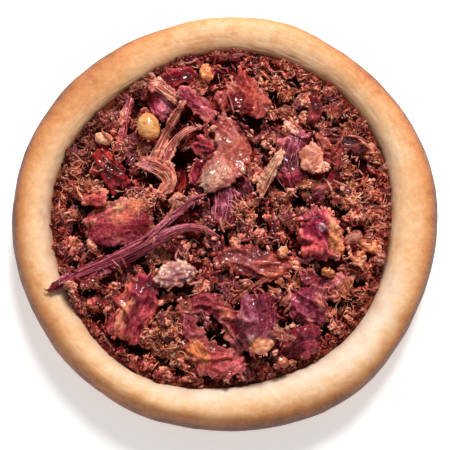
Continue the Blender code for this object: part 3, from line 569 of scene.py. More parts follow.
# The larger pieces of beef. limbs are the spines they lie along, (x, y, half width); grooves, folds
# and lumps are (size, depth); torn is how ragged the outline is; the shares run from 0 to 1.
plainPiece = {
    "tones": ["4a0f20", "7d2a3c", "b0545c"],
    "rim": "d88a6c",
    "rimShare": 0.55,
    "vein": "d99a78",
    "veinShare": 0.25,
    "grooves": (0.95, 0.22),
    "folds": (4.0, 0.45),
    "lumps": (1.4, 0.16),
    "torn": 0.8,
    "curl": 0.4,
    "wet": 0.55,
    "crestHighlight": 0.35,
    "strands": 0,
    "strandSize": (0.14, 0.30),
    "wobble": 0.06,
    "bars": 0.0,  # depth of the stripes running across the piece
    "fibrous": 1.0,  # 1 is streaked along the piece, 0 mottled
    "panels": 0.0,
    "panelDepth": 0.3,
    "grains": 0.0,
    "patches": [],  # (x, y, reach, tone, share); a few of them are painted highlights, one is painted shade
}
pieces = {
    "dark_fold": {
        "limbs": [[(-36.4, 17.2, 2.5), (-33.7, 13.8, 3.9), (-31.3, 10.3, 3.9), (-28.8, 6.5, 2.5)]],
        "fibrous": 0.30, "slot": "dark_beef", "tones": ["2d0205", "57040e", "7e0d1b"], "rimShare": 0.5,
        "rim": "e14346",
        "grooves": (1.5, 0.15), "folds": (5.0, 0.6), "wet": 0.8, "veinShare": 0.1,
        "patches": [(-32.4, 13.1, 3.2, "460207", 0.9), (-32.7, 15.9, 1.4, "e1493d", 0.85),
                    (-28.9, 6.5, 2.6, "ac2a3d", 0.7), (-34.9, 13.9, 1.0, "d33b32", 0.7)],
    },
    "upright_shred": {
        "limbs": [[(-27.1, 33.6, 0.6), (-28.2, 29.5, 1.0), (-28.6, 25.6, 1.1), (-29.0, 21.8, 1.1),
                   (-30.0, 17.2, 0.7)]],
        "slot": "pink_beef", "tones": ["8c2839", "b74451", "d26569"], "rim": "e67d79", "strands": 7,
    },
    "crimson_lump": {
        "limbs": [[(-18.8, 37.1, 1.9), (-15.1, 39.0, 3.2), (-11.1, 39.4, 3.2), (-7.5, 38.0, 2.1)]],
        "fibrous": 0.60, "slot": "dark_beef", "tones": ["50081a", "7c1528", "a72d3f"], "rim": "e77063",
        "folds": (4.5, 0.6),
    },
    "ribbed_lump": {
        "limbs": [[(-20.8, 34.0, 2.3), (-18.1, 30.9, 3.4), (-15.9, 27.4, 2.3)]],
        "slot": "plum_beef", "tones": ["971b40", "e04a6f", "f68296"], "rim": "f69395", "rimShare": 0.3,
        "grooves": (0.8, 0.3), "wet": 0.7,
        "patches": [(-16.6, 29.6, 2.4, "f693a5", 0.75), (-20.6, 33.0, 1.8, "ac1b36", 0.8)],
    },
    "pink_strap": {
        "limbs": [[(-22.5, 36.9, 1.2), (-18.9, 35.6, 1.8), (-15.6, 33.5, 1.8), (-12.6, 31.4, 1.3)]],
        "slot": "pink_beef", "tones": ["c35254", "f18776", "fcba9d"], "rim": "fcc7aa", "strands": 5,
    },
    "pink_bridge": {
        "limbs": [[(-13.0, 34.0, 1.8), (-9.8, 32.2, 2.8), (-6.5, 30.0, 2.7), (-3.5, 26.8, 1.7)]],
        "slot": "pink_beef", "tones": ["922e44", "ce546a", "f28688"], "rim": "fc997c",
    },
    "plum_lump": {
        "limbs": [[(-8.4, 20.3, 1.7), (-5.8, 18.3, 2.7), (-3.5, 15.7, 1.9)]],
        "fibrous": 0.50, "slot": "plum_beef", "tones": ["721c2e", "cb485a", "f67d78"], "lumps": (1.6, 0.35),
    },
    "plum_block": {
        "limbs": [[(-7.8, 14.2, 1.7), (-7.2, 10.9, 2.5), (-7.9, 7.4, 1.7)]],
        "slot": "plum_beef", "tones": ["610924", "a21e3e", "ce3b5f"], "grooves": (0.7, 0.2),
    },
    "red_flake": {
        "limbs": [[(-11.9, 11.5, 0.9), (-12.2, 8.5, 1.5), (-13.0, 5.3, 1.0)]],
        "slot": "dark_beef", "tones": ["5b030c", "8c0a1b", "a91d2b"], "rimShare": 0.2, "wet": 0.7,
    },
    "striated_block": {
        "limbs": [[(-0.6, 6.8, 2.7), (0.2, 3.5, 3.6), (0.0, -0.3, 3.6), (-1.1, -4.5, 2.3)]],
        "slot": "plum_beef", "tones": ["521529", "8e3652", "cc768f"], "rim": "f38883", "rimShare": 0.25,
        "grooves": (0.75, 0.34), "veinShare": 0.0, "wet": 0.65, "strands": 9, "strandSize": (0.12, 0.26),
        "patches": [(1.7, 5.4, 1.6, "d3788c", 0.6), (-3.3, 4.8, 1.8, "93354e", 0.6),
                    (3.3, -1.4, 1.6, "701e32", 0.7), (-0.8, -6.1, 1.4, "f09974", 0.6)],
    },
    "fan_sheet": {
        "limbs": [[(4.0, 41.6, 1.1), (4.6, 37.2, 4.1), (5.2, 32.4, 8.0), (4.8, 28.0, 5.2)]],
        "fibrous": 0.35, "slot": "red_beef", "tones": ["651320", "9e3135", "c35a50"], "rim": "d48270",
        "rimShare": 0.4,
        "lumps": (2.6, 0.35), "folds": (5.0, 0.9), "torn": 0.9, "wet": 0.7,
        "patches": [(2.0, 36.6, 2.0, "d97f6c", 0.8), (6.4, 32.7, 4.0, "ad3e33", 0.7),
                    (5.6, 28.1, 2.2, "5e0a12", 0.85), (10.9, 32.4, 3.0, "b55b49", 0.6),
                    (4.2, 40.1, 1.6, "bc4d45", 0.7)],
    },
    "glazed_sheet": {
        "limbs": [[(-2.1, 26.6, 2.1), (0.8, 22.6, 3.9), (2.4, 17.5, 4.8), (0.4, 12.4, 4.8),
                   (-2.9, 8.7, 4.1), (-6.2, 5.8, 1.9)]],
        "fibrous": 0.30, "slot": "pink_beef", "tones": ["9f3b3d", "c1625b", "d08677"], "rim": "d69986",
        "rimShare": 0.35,
        "grooves": (1.6, 0.12), "folds": (4.5, 0.35), "wet": 1.0, "veinShare": 0.35, "vein": "d29984",
        "patches": [(-0.8, 23.1, 3.0, "b63e37", 0.7), (-5.8, 23.7, 2.2, "81222f", 0.7),
                    (2.2, 16.8, 3.6, "cc6956", 0.7), (5.0, 13.9, 2.8, "c55d4c", 0.8),
                    (-2.5, 9.4, 3.8, "cc927c", 0.9), (-5.5, 6.2, 2.8, "d09f89", 0.85),
                    (-0.3, 19.7, 1.3, "73131b", 0.8)],
    },
    "forked_shred": {
        "limbs": [
            [(-25.2, 14.6, 1.2), (-20.9, 13.6, 2.3), (-16.7, 11.1, 2.3), (-15.3, 7.4, 1.9),
             (-17.8, 4.3, 1.2)],
            [(-20.3, 13.4, 1.7), (-18.6, 18.4, 1.4), (-16.5, 22.4, 1.2), (-13.9, 26.1, 1.1),
             (-11.6, 29.6, 0.7)],
            [(-17.3, 12.8, 1.6), (-15.6, 17.8, 1.2), (-13.3, 20.9, 1.1), (-10.4, 22.8, 1.1),
             (-6.9, 24.2, 0.7)],
        ],
        "slot": "pink_beef", "tones": ["b0474c", "e47f6f", "fca68c"], "rim": "fcb494", "strands": 8,
        "wet": 0.45,
        # The near-black patch at (-21.0, 9.9) is painted shade in a hole of the shred
        "patches": [(-21.0, 9.9, 2.0, "3e0813", 0.95), (-16.8, 9.1, 2.6, "fca172", 0.9),
                    (-21.3, 13.1, 2.2, "d5818b", 0.7), (-17.9, 5.4, 2.0, "e6796a", 0.7)],
    },
    "marbled_slab": {
        "limbs": [[(-38.7, -4.9, 3.5), (-33.0, -3.9, 5.6), (-26.2, -2.6, 6.0), (-20.1, -0.9, 3.7)]],
        "fibrous": 0.15, "slot": "red_beef", "tones": ["751e33", "b13c4d", "d36163"], "rim": "f2a585",
        "rimShare": 0.6,
        "vein": "f2ad8a", "folds": (6.0, 0.4), "grooves": (1.1, 0.12), "torn": 0.6,
        "patches": [(-35.1, 1.4, 2.6, "d86748", 0.85), (-29.6, 0.9, 1.8, "f2aa82", 0.9),
                    (-24.1, 1.4, 2.4, "f08e5c", 0.85), (-31.4, -4.7, 4.0, "a63746", 0.9),
                    (-22.1, -4.4, 2.8, "952a3c", 0.9), (-31.8, -10.3, 4.0, "872a46", 0.85),
                    (-26.4, -9.7, 3.0, "a94053", 0.8), (-18.6, -5.0, 1.1, "f2b265", 0.9),
                    (-29.5, -2.0, 2.2, "ee8966", 0.6), (-26.6, -1.4, 2.0, "f07861", 0.7)],
    },
    "red_oval": {
        "limbs": [[(-39.6, 4.7, 1.6), (-36.1, 3.7, 2.6), (-32.6, 3.3, 1.8)]],
        "slot": "red_beef", "tones": ["972a36", "cc4b4f", "ed7362"], "rim": "fcb18a",
    },
    "long_strip": {
        "limbs": [
            [(-48.4, -22.3, 0.5), (-44.3, -19.9, 1.4), (-38.0, -16.8, 2.0), (-30.8, -14.0, 2.2),
             (-23.2, -10.5, 2.0), (-17.1, -7.5, 1.5), (-11.7, -5.1, 1.1), (-6.5, -5.3, 0.9),
             (-2.3, -7.4, 0.5)],
            [(-23.7, -10.0, 1.3), (-18.7, -6.0, 1.2), (-13.9, -1.5, 1.1), (-9.6, 1.6, 0.9), (-5.9, 3.1, 0.5)],
        ],
        "slot": "plum_beef", "tones": ["55122a", "97344b", "d06b7e"], "rim": "d9716c", "rimShare": 0.2,
        "grooves": (0.9, 0.45), "strands": 16, "wet": 0.6, "folds": (9.0, 0.2), "veinShare": 0.1, "torn": 0.4,
        "patches": [(-14.5, -6.1, 3.0, "f09277", 0.75), (-9.6, -4.7, 2.6, "f49b7b", 0.75),
                    (-20.4, -8.6, 2.6, "c97173", 0.6), (-12.9, -1.4, 3.2, "541a31", 0.85),
                    (-9.6, 1.4, 2.4, "421125", 0.85), (-31.2, -14.7, 5.0, "994e69", 0.5)],
    },
    "upper_right_strand": {
        "limbs": [[(24.7, 35.6, 1.2), (25.8, 31.8, 1.8), (25.3, 28.0, 1.7), (23.7, 25.0, 1.2)]],
        "slot": "plum_beef", "tones": ["39020f", "5f0b1f", "832231"], "rimShare": 0.3,
    },
    "right_strand": {
        "limbs": [[(30.2, 21.2, 1.5), (34.6, 19.8, 2.2), (39.3, 17.5, 1.6)]],
        "slot": "plum_beef", "tones": ["1b010c", "33031a", "4a102d"], "rimShare": 0.2,
    },
    "amber_flap": {
        "limbs": [[(26.2, 23.0, 1.0), (27.7, 20.1, 1.7), (28.7, 17.3, 1.4)]],
        "fibrous": 0.30, "slot": "onion", "tones": ["88322b", "b9563f", "c76c5f"], "rim": "c66353",
        "wet": 1.0,
        "grooves": (1.2, 0.08), "folds": (2.4, 0.3), "torn": 0.4,
    },
    "purple_tuft": {
        "limbs": [[(21.9, 22.6, 2.5), (18.3, 18.0, 3.9), (17.6, 12.6, 4.1), (20.5, 7.6, 2.9)]],
        "slot": "plum_beef", "tones": ["551429", "9e3950", "e78390"], "rim": "f67e6b", "rimShare": 0.3,
        "grooves": (0.8, 0.3), "strands": 18, "strandSize": (0.06, 0.12), "wobble": 0.35, "wet": 0.75,
        "torn": 1.2,
        "patches": [(18.5, 13.3, 3.6, "4d1338", 0.7), (20.0, 19.1, 2.6, "934163", 0.6),
                    (21.2, 6.5, 3.4, "ac273a", 0.7)],
    },
    "brown_curl": {
        "limbs": [[(26.7, 15.9, 1.4), (30.2, 14.2, 1.9), (31.3, 10.9, 2.1), (28.9, 7.4, 2.0),
                   (24.6, 5.6, 1.4)]],
        "slot": "red_beef", "tones": ["5a1324", "842c32", "a84a47"], "rim": "bb655e", "rimShare": 0.5,
        "patches": [(29.0, 11.1, 3.6, "841d32", 0.7), (26.7, 5.7, 1.5, "c86a66", 0.8),
                    (30.7, 14.5, 1.6, "b8564d", 0.6)],
    },
    "onion_flap": {
        "limbs": [[(22.0, 17.3, 2.3), (23.9, 14.4, 3.2), (22.7, 10.7, 2.1)]],
        "fibrous": 0.20, "slot": "onion", "tones": ["bc6548", "e18a6d", "e9a492"], "rim": "e59881",
        "rimShare": 0.3,
        "grooves": (1.6, 0.08), "folds": (3.6, 0.35), "torn": 0.4, "wet": 0.6, "veinShare": 0.1,
    },
    "pale_spike": {
        "limbs": [[(15.6, 16.0, 0.5), (13.3, 12.3, 1.2), (11.1, 8.3, 1.5), (9.4, 4.6, 1.3)]],
        "slot": "pink_beef", "tones": ["ff8c7a", "ffac8e", "ffcca4"], "rim": "ffcca4", "strands": 7,
    },
    "open_ring": {
        "limbs": [[(22.3, -15.7, 2.3), (23.2, -19.4, 2.8), (26.8, -22.0, 2.8), (31.0, -21.3, 2.8),
                   (33.7, -17.7, 2.3)]],
        "fibrous": 0.50, "slot": "pink_beef", "tones": ["731e39", "a54059", "d07481"], "rim": "ed9281",
        "rimShare": 0.6,
        "grooves": (0.9, 0.1), "wet": 0.6, "bars": 0.45, "torn": 0.35,
        "patches": [(23.0, -19.3, 2.8, "7d1b38", 0.8), (27.1, -17.4, 2.2, "4d0f28", 0.8),
                    (24.5, -23.2, 1.6, "ed8761", 0.7), (33.0, -21.0, 2.8, "ed8b5d", 0.75)],
    },
    "rosy_lump": {
        "limbs": [[(23.7, 0.1, 3.6), (25.5, -4.4, 5.8), (26.6, -8.9, 6.0), (26.2, -12.8, 4.0)]],
        "fibrous": 0.20, "slot": "red_beef", "tones": ["9a2948", "e7516b", "f67c7d"], "rim": "f6a78f",
        "rimShare": 0.7,
        "folds": (3.6, 0.9), "lumps": (2.2, 0.5), "torn": 1.2, "vein": "f6a08f",
        "patches": [(31.5, -0.8, 3.0, "f4596d", 0.8), (22.8, 0.3, 2.6, "f66f80", 0.8),
                    (24.5, -11.9, 3.8, "ea5f61", 0.8), (25.4, -5.5, 3.0, "8a2144", 0.9),
                    (30.5, -8.1, 2.3, "f6a169", 0.9), (29.5, -3.6, 1.7, "f6ad81", 0.85),
                    # The small pale patch at (26.5, -4.7) is a painted highlight
                    (26.5, -4.7, 0.8, "f6c5cb", 0.9), (25.8, -15.0, 1.8, "621533", 0.8)],
    },
    "glossy_membrane": {
        "limbs": [[(-3.4, -14.3, 2.1), (2.2, -13.0, 3.7), (7.9, -14.3, 4.3), (13.3, -15.7, 3.5),
                   (17.3, -16.0, 1.9)]],
        "fibrous": 0.20, "slot": "tallow", "tones": ["5e0f12", "912b26", "bf5244"], "rim": "c25543",
        "rimShare": 0.3,
        "lumps": (1.8, 0.4), "folds": (3.6, 0.5), "wet": 1.0, "torn": 1.0, "veinShare": 0.4, "vein": "ca6151",
        # The three paler patches at (-1.4, -14.7), (4.1, -14.1) and (8.9, -15.8) are painted highlights
        "patches": [(-1.4, -14.7, 2.0, "c0645a", 0.7), (4.1, -14.1, 2.0, "bb5d5c", 0.7),
                    (8.9, -15.8, 2.0, "b45558", 0.7), (13.5, -17.4, 2.8, "c85735", 0.7),
                    (5.7, -17.7, 2.6, "7d151e", 0.7), (1.6, -16.9, 2.0, "952723", 0.7)],
    },
    "ridged_slab": {
        "limbs": [[(-20.2, -17.9, 3.1), (-23.0, -23.3, 5.0), (-25.9, -29.4, 5.6), (-28.7, -34.5, 4.3)]],
        "slot": "plum_beef", "tones": ["691229", "ac3245", "e25c67"], "rim": "f6755c", "rimShare": 0.35,
        "grooves": (1.5, 0.4), "folds": (3.4, 0.5), "wet": 0.75, "vein": "f6896a", "veinShare": 0.35,
        "patches": [(-20.8, -20.7, 4.0, "641637", 0.8), (-27.2, -26.7, 1.9, "f69872", 0.95),
                    (-28.4, -31.0, 1.9, "f69d7e", 0.95), (-30.2, -35.3, 1.8, "f67e5d", 0.9),
                    (-24.4, -31.8, 2.6, "93223c", 0.8), (-32.0, -27.8, 1.8, "801a31", 0.7),
                    (-26.7, -21.8, 1.6, "f6795f", 0.8)],
    },
    "fat_cluster": {
        "limbs": [[(-17.9, -20.9, 1.9), (-15.1, -18.1, 3.3), (-11.4, -17.2, 3.5), (-8.4, -18.8, 2.1)]],
        "fibrous": 0.10, "slot": "tallow", "tones": ["a76467", "e19c8c", "fcd4bb"], "rim": "f3a280",
        "rimShare": 0.2,
        "grains": 1.5, "grooves": (1.4, 0.0), "folds": (4.0, 0.2), "wet": 1.0, "veinShare": 0.0, "torn": 0.5,
    },
    "torn_sheet": {
        "limbs": [
            [(-9.7, -26.5, 2.8), (-10.5, -31.9, 3.4), (-8.3, -37.0, 3.6), (-4.3, -40.2, 3.9),
             (0.3, -41.5, 4.2),
             (4.8, -40.2, 3.0)],
            [(-10.3, -28.4, 2.2), (-6.8, -25.7, 2.7), (-2.4, -26.5, 2.7), (1.1, -29.7, 2.6),
             (3.2, -34.1, 2.8),
             (4.0, -38.1, 2.4)],
        ],
        "fibrous": 0.45, "slot": "red_beef", "tones": ["69192e", "9e3e4b", "c76a70"], "rim": "d67e62",
        "rimShare": 0.5,
        "folds": (3.6, 0.6), "torn": 1.2, "wet": 0.7,
        "patches": [(-1.9, -41.1, 4.0, "cb5350", 0.85), (-7.5, -38.7, 2.8, "e78550", 0.9),
                    (-10.5, -32.1, 2.8, "9c4952", 0.6), (-4.0, -26.1, 3.6, "882233", 0.7),
                    (0.3, -28.6, 1.5, "df7b56", 0.8), (2.9, -42.2, 2.6, "d7686d", 0.7)],
    },
    "fatty_slab": {
        "limbs": [[(7.7, -22.9, 3.5), (8.8, -27.7, 5.4), (9.0, -32.7, 5.6), (5.0, -37.1, 3.3)]],
        "fibrous": 0.50, "slot": "plum_beef", "tones": ["541731", "88395a", "bc6d85"], "rim": "ec9885",
        "rimShare": 0.35,
        "grooves": (0.9, 0.14), "folds": (5.5, 0.4), "wet": 0.9, "vein": "f4ae8d", "veinShare": 0.2,
        "patches": [(9.9, -27.8, 4.6, "6d1f3a", 0.75), (3.8, -30.4, 2.8, "b85365", 0.7),
                    # The pale pink patch at (6.7, -35.0) is a painted highlight
                    (6.7, -35.0, 2.0, "dea0a8", 0.6), (8.3, -37.4, 2.2, "f6a873", 0.9),
                    (4.0, -25.0, 2.0, "95314b", 0.6)],
    },
    "cracked_slab": {
        "limbs": [[(20.6, -21.6, 3.4), (21.7, -25.1, 4.7), (22.7, -28.7, 4.9), (22.1, -31.4, 4.3)]],
        "fibrous": 0.40, "slot": "plum_beef", "tones": ["732547", "bb5470", "f48895"], "rim": "f49f76",
        "rimShare": 0.45,
        "panels": 2.6, "vein": "711f3e", "folds": (4.0, 0.4), "grooves": (1.0, 0.1), "wet": 0.7,
        "patches": [(20.2, -22.1, 3.6, "a43458", 0.6), (22.8, -31.3, 1.8, "f4877d", 0.7),
                    (19.6, -27.8, 3.0, "c5506c", 0.5), (25.6, -25.0, 1.4, "f48a6c", 0.6)],
    },
    "folded_slab": {
        "limbs": [[(25.4, -34.7, 3.1), (20.8, -35.8, 4.1), (15.7, -37.6, 2.9)]],
        "fibrous": 0.50, "slot": "plum_beef", "tones": ["500c27", "882247", "c64b65"], "rim": "ed6f61",
        "rimShare": 0.45,
        "folds": (3.0, 0.5), "wet": 0.75,
        "patches": [(20.1, -34.7, 3.6, "72132e", 0.7), (15.8, -36.9, 1.6, "ed5e5a", 0.6)],
    },
}


def spineOf(limb, count=90):
    points = np.array(limb, float)
    place = np.linspace(0, len(points) - 1, count)
    index = np.minimum(place.astype(int), len(points) - 2)
    t = (place - index)[:, None]
    p = [points[np.clip(index + k, 0, len(points) - 1)] for k in (-1, 0, 1, 2)]
    curve = 2 * p[1] + (p[2] - p[0]) * t + (2 * p[0] - 5 * p[1] + 4 * p[2] - p[3]) * t ** 2
    return (curve + (3 * p[1] - p[0] - 3 * p[2] + p[3]) * t ** 3) / 2


def headings(line):
    ahead = np.gradient(line[:, :2], axis=0)
    return ahead / np.maximum(np.linalg.norm(ahead, axis=1), 1e-9)[:, None]


# Each point's place on the nearest limb: along and across in millimetres, and shares of length and width
def limbPlace(points, limbs):
    best = None
    for number, limb in enumerate(limbs):
        line = spineOf(limb)
        heading = headings(line)
        steps = np.linalg.norm(np.diff(line[:, :2], axis=0), axis=1)
        length = np.concatenate([[0], np.cumsum(steps)])
        gap = points[:, None, :2] - line[None, :, :2]
        away = np.linalg.norm(gap, axis=2) / np.maximum(line[None, :, 2], 0.8)
        near = away.argmin(axis=1)
        offset = gap[np.arange(len(points)), near]
        side = offset[:, 1] * heading[near, 0] - offset[:, 0] * heading[near, 1]
        along = length[near] + (offset * heading[near]).sum(axis=1)
        found = columns(along, side, side / np.maximum(line[near, 2], 0.5), along / length[-1],
                        np.full(len(points), number), away.min(axis=1),
                        -heading[near, 1], heading[near, 0])
        best = found if best is None else np.where((found[:, 5] < best[:, 5])[:, None], found, best)
    return best


# A closely spaced copy of a solid of the frame, in millimetres
def fineCopy(node, voxel):
    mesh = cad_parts[node].data.copy()
    mesh.transform(Matrix.Scale(1 / mm, 4))
    guide = bpy.data.objects.new("guide", mesh)
    bpy.context.scene.collection.objects.link(guide)
    welded = guide.modifiers.new("weld", "WELD")
    welded.merge_threshold = 0.001
    remesh = guide.modifiers.new("remesh", "REMESH")
    remesh.mode = "VOXEL"
    remesh.voxel_size = voxel
    bpy.context.view_layer.update()
    fine = guide.evaluated_get(bpy.context.evaluated_depsgraph_get()).to_mesh()
    points = pointsOf(fine)
    faces = np.array([p.vertices[:] for p in fine.polygons if len(p.vertices) == 4])
    guide.to_mesh_clear()
    bpy.data.objects.remove(guide)
    bpy.data.meshes.remove(mesh)
    return points, faces


def ridged(values, width):
    return 1 - np.clip(np.abs(values) / width, 0, 1)


def shapePiece(points, faces, look, seed):
    place = limbPlace(points, look["limbs"])
    along, across, share, travel = place[:, 0], place[:, 1], place[:, 2], place[:, 3]
    lane = across + 9 * place[:, 4]
    ending = np.abs(travel - 0.5)
    edge = np.maximum(smooth(0.35, 1.0, np.abs(share)), smooth(0.30, 0.5, ending))
    grain = columns(along, across, points[:, 2])
    matted = 1 - look["fibrous"]
    # A ragged outline, longest where fibres end
    bays = layered(columns(along, lane * 0.4, points[:, 2] * 0.2), 3.4, 2, seed + 1)
    spikes = layered(columns(along, lane * 0.25, points[:, 2] * 0.2), 1.1, 3, seed)
    spikes = np.maximum(spikes, 0) ** 1.4 * 1.8 - 0.25
    frayed = layered(columns(across * 1.7, along * 0.12, points[:, 2] * 0.3), 1.1, 2, seed + 2)
    outward = np.sign(share)[:, None] * place[:, 6:8]
    heading = columns(place[:, 7], -place[:, 6]) * np.sign(travel - 0.5)[:, None]
    nicks = layered(points, 0.8, 2, seed + 5)
    push = look["torn"] * edge * (bays * 0.7 + spikes * 0.45 + nicks * 0.45)
    points[:, :2] += outward * push[:, None]
    points[:, :2] += heading * (look["torn"] * frayed * smooth(0.38, 0.5, ending) * 1.5)[:, None]
    points = softened(points, faces, 1, 0.25)
    facing = normalsOf(points, faces)
    upper = smooth(-0.3, 0.3, facing[:, 2])
    # Creased folds, muscle grooves, lumps, cracks and grains
    bent = points + np.stack([layered(points, 5.0, 2, seed + k) for k in (1, 2, 3)], axis=1) * 1.6
    size, depth = look["folds"]
    fold = noiseAt(columns(along * 0.45 / size, (across + bent[:, 1] * 0.5) / size,
                           np.full(len(along), 0.7)), 1, seed)
    crest = ridged(fold, 0.55) ** 1.6
    height = (crest - 0.35) * depth * 2.0
    size, depth = look["grooves"]
    wander = noiseAt(grain, 5.0, seed + 8) * 1.2
    lines = columns(along * 0.14 / size, (across + wander) / size, points[:, 2] * 0.4 / size)
    lines = noiseAt(lines, 1, seed + 4)
    fine = noiseAt(columns(along * 0.3, (across + wander) * 2.4, points[:, 2]), 1, seed + 6)
    groove = ridged(lines, 0.5)
    height -= (groove ** 2 - 0.3) * depth
    height += fine * depth * 0.5
    size, depth = look["lumps"]
    lumps = layered(bent, size, 3, seed + 12)
    creases = ridged(layered(bent, size * 1.3, 2, seed + 13), 0.22)
    height += lumps * depth - creases * depth * 0.8
    height += look["curl"] * smooth(0.6, 1.0, np.abs(share)) * (0.3 + 1.6 * noiseAt(grain, 2.6, seed + 3))
    stripes = noiseAt(columns(along * 1.3 + 0.5 * wander, across * 0.12, points[:, 2] * 0.2), 1, seed + 7)
    height += stripes * look["bars"]
    web = np.zeros(len(points))
    if look["panels"]:
        nearest, second = cellsAt(bent * (1, 1, 0.3), look["panels"], seed)
        web = 1 - smooth(0.03, 0.26, second - nearest + 0.05 * fine)
        height += (0.5 - web) * look["panelDepth"]
    pearls = np.zeros(len(points))
    if look["grains"]:
        nearest, second = cellsAt(points, look["grains"], seed)
        pearls = 1 - nearest
        height += (smooth(0.75, 0.0, nearest) - 0.5) * look["grains"] * 0.6
        web = smooth(0.2, 0.0, second - nearest)
    points = points + facing * (height * (0.25 + 0.75 * upper))[:, None]
    points = softened(points, faces, 1, 0.2)
    # Colours: painted shade in the grooves, creases and low places, painted light on the crests and high
    # places, a torn pink rim and veins of fat
    streak = noiseAt(columns(along * 0.13, (across + wander) * 1.0, points[:, 2] * 0.4), 1, seed + 15)
    cloud = layered(points, 4.0, 3, seed + 18)
    mottle = layered(points, 1.0, 2, seed + 19)
    streak = streak * (0.25 + 0.75 * look["fibrous"])
    level = 0.36 + 0.34 * streak + (0.34 + 0.10 * matted) * cloud + 0.55 * height
    level = level + (0.20 + 0.12 * matted) * mottle - 0.40 * groove ** 2 + 0.26 * crest
    colours = blendTones(look["tones"], np.clip(level, 0, 1))
    # Painted shade: the creases and low places darken toward the darkest tone
    colours = towards(colours, tone(look["tones"][0]) * 0.6, creases * 0.5 + smooth(0.1, -0.5, height) * 0.4)
    rimmed = smooth(0.70, 1.0, np.abs(share) + 0.22 * spikes + 0.25 * cloud)
    rimmed += smooth(0.43, 0.5, ending + 0.04 * spikes)
    colours = towards(colours, tone(look["rim"]), rimmed * look["rimShare"] * (0.75 + 0.5 * mottle))
    # Painted highlight: the crests of the folds take the pale rim tone
    crestLight = smooth(0.72, 1.0, crest) * look["crestHighlight"] * (0.7 + 0.6 * cloud)
    colours = towards(colours, tone(look["rim"]), crestLight)
    if look["panels"]:
        colours = towards(colours, tone(look["vein"]), web * 0.75)
    veins = layered(columns(along * 0.25, across * 0.55, points[:, 2] * 0.3), 1.4, 3, seed + 22)
    veins = ridged(veins, 0.10)
    colours = towards(colours, tone(look["vein"]), veins * look["veinShare"] * smooth(-0.1, 0.5, cloud))
    colours = towards(colours, tone(look["rim"]), smooth(0.05, 0.5, stripes) * min(look["bars"] * 1.6, 0.8))
    # Painted shade between the beads of fat and painted light on their middles
    if look["grains"]:
        colours = towards(colours, tone(look["tones"][0]), web * 0.55)
        colours = towards(colours, tone(look["tones"][-1]), smooth(0.45, 0.8, pearls) * 0.6)
    for x, y, reach, patch, amount in look["patches"]:
        middle = np.hypot(points[:, 0] - x, points[:, 1] - y).argmin()
        near = np.hypot((along - along[middle]) / 1.5, (across - across[middle]) * 1.1) / reach
        near += np.where(place[:, 4] == place[middle, 4], 0, 9) + 0.45 * cloud + 0.30 * streak + 0.15 * mottle
        # Each patch also carries painted shade in its grooves and painted light on its high places
        dyed = tone(patch) * np.clip(1 + 0.5 * mottle + 0.45 * height - 0.35 * groove ** 2, 0.2, 1.6)[:, None]
        colours = towards(colours, dyed, smooth(1.15, 0.55, near) * amount)
    # Painted shade: faces turned down are darker
    colours = deepened(colours) * (0.62 + 0.38 * upper)[:, None]
    colours /= np.maximum(colours.max(axis=1) / 0.88, 1)[:, None]
    wet = np.clip(look["wet"] * (0.6 + 0.9 * layered(points, 2.2, 3, seed + 30)), 0, 1)
    grain = grain * (1 + 4.5 * matted, 1 - 0.35 * matted, 1.0)
    return points, {"paint": np.clip(colours, 0, 1), "grain": grain, "wet": wet}


def tapered(stations, start, power):
    return np.sin(np.linspace(start, math.pi - start, stations)) ** power


# Round strands along paths of equal numbers of points, as quads
def tubesAlong(paths, radii, sides=5):
    count, stations = paths.shape[:2]
    ahead = np.gradient(paths, axis=1)
    ahead /= np.maximum(np.linalg.norm(ahead, axis=2), 1e-9)[..., None]
    side = np.cross(ahead, (0.0, 0.0, 1.0))
    side /= np.maximum(np.linalg.norm(side, axis=2), 1e-6)[..., None]
    top = np.cross(side, ahead)
    turn = np.linspace(0, 2 * math.pi, sides, endpoint=False)
    spread = side[:, :, None] * np.cos(turn)[:, None] + top[:, :, None] * np.sin(turn)[:, None]
    points = (paths[:, :, None] + spread * radii[:, :, None, None]).reshape(-1, 3)
    index = np.arange(count * stations * sides).reshape(count, stations, sides)
    around = np.roll(index, -1, axis=2)
    faces = np.stack([index[:, :-1], around[:, :-1], around[:, 1:], index[:, 1:]], axis=-1).reshape(-1, 4)
    return points, faces


# Heights along strands, lifted so that none falls more steeply than it could droop
def drooping(z, x, y, slope=0.8):
    step = np.hypot(np.diff(x, axis=-1), np.diff(y, axis=-1)) * slope
    z = z.copy()
    for k in range(1, z.shape[-1]):
        z[..., k] = np.maximum(z[..., k], z[..., k - 1] - step[..., k - 1])
    for k in range(z.shape[-1] - 2, -1, -1):
        z[..., k] = np.maximum(z[..., k], z[..., k + 1] - step[..., k])
    return z


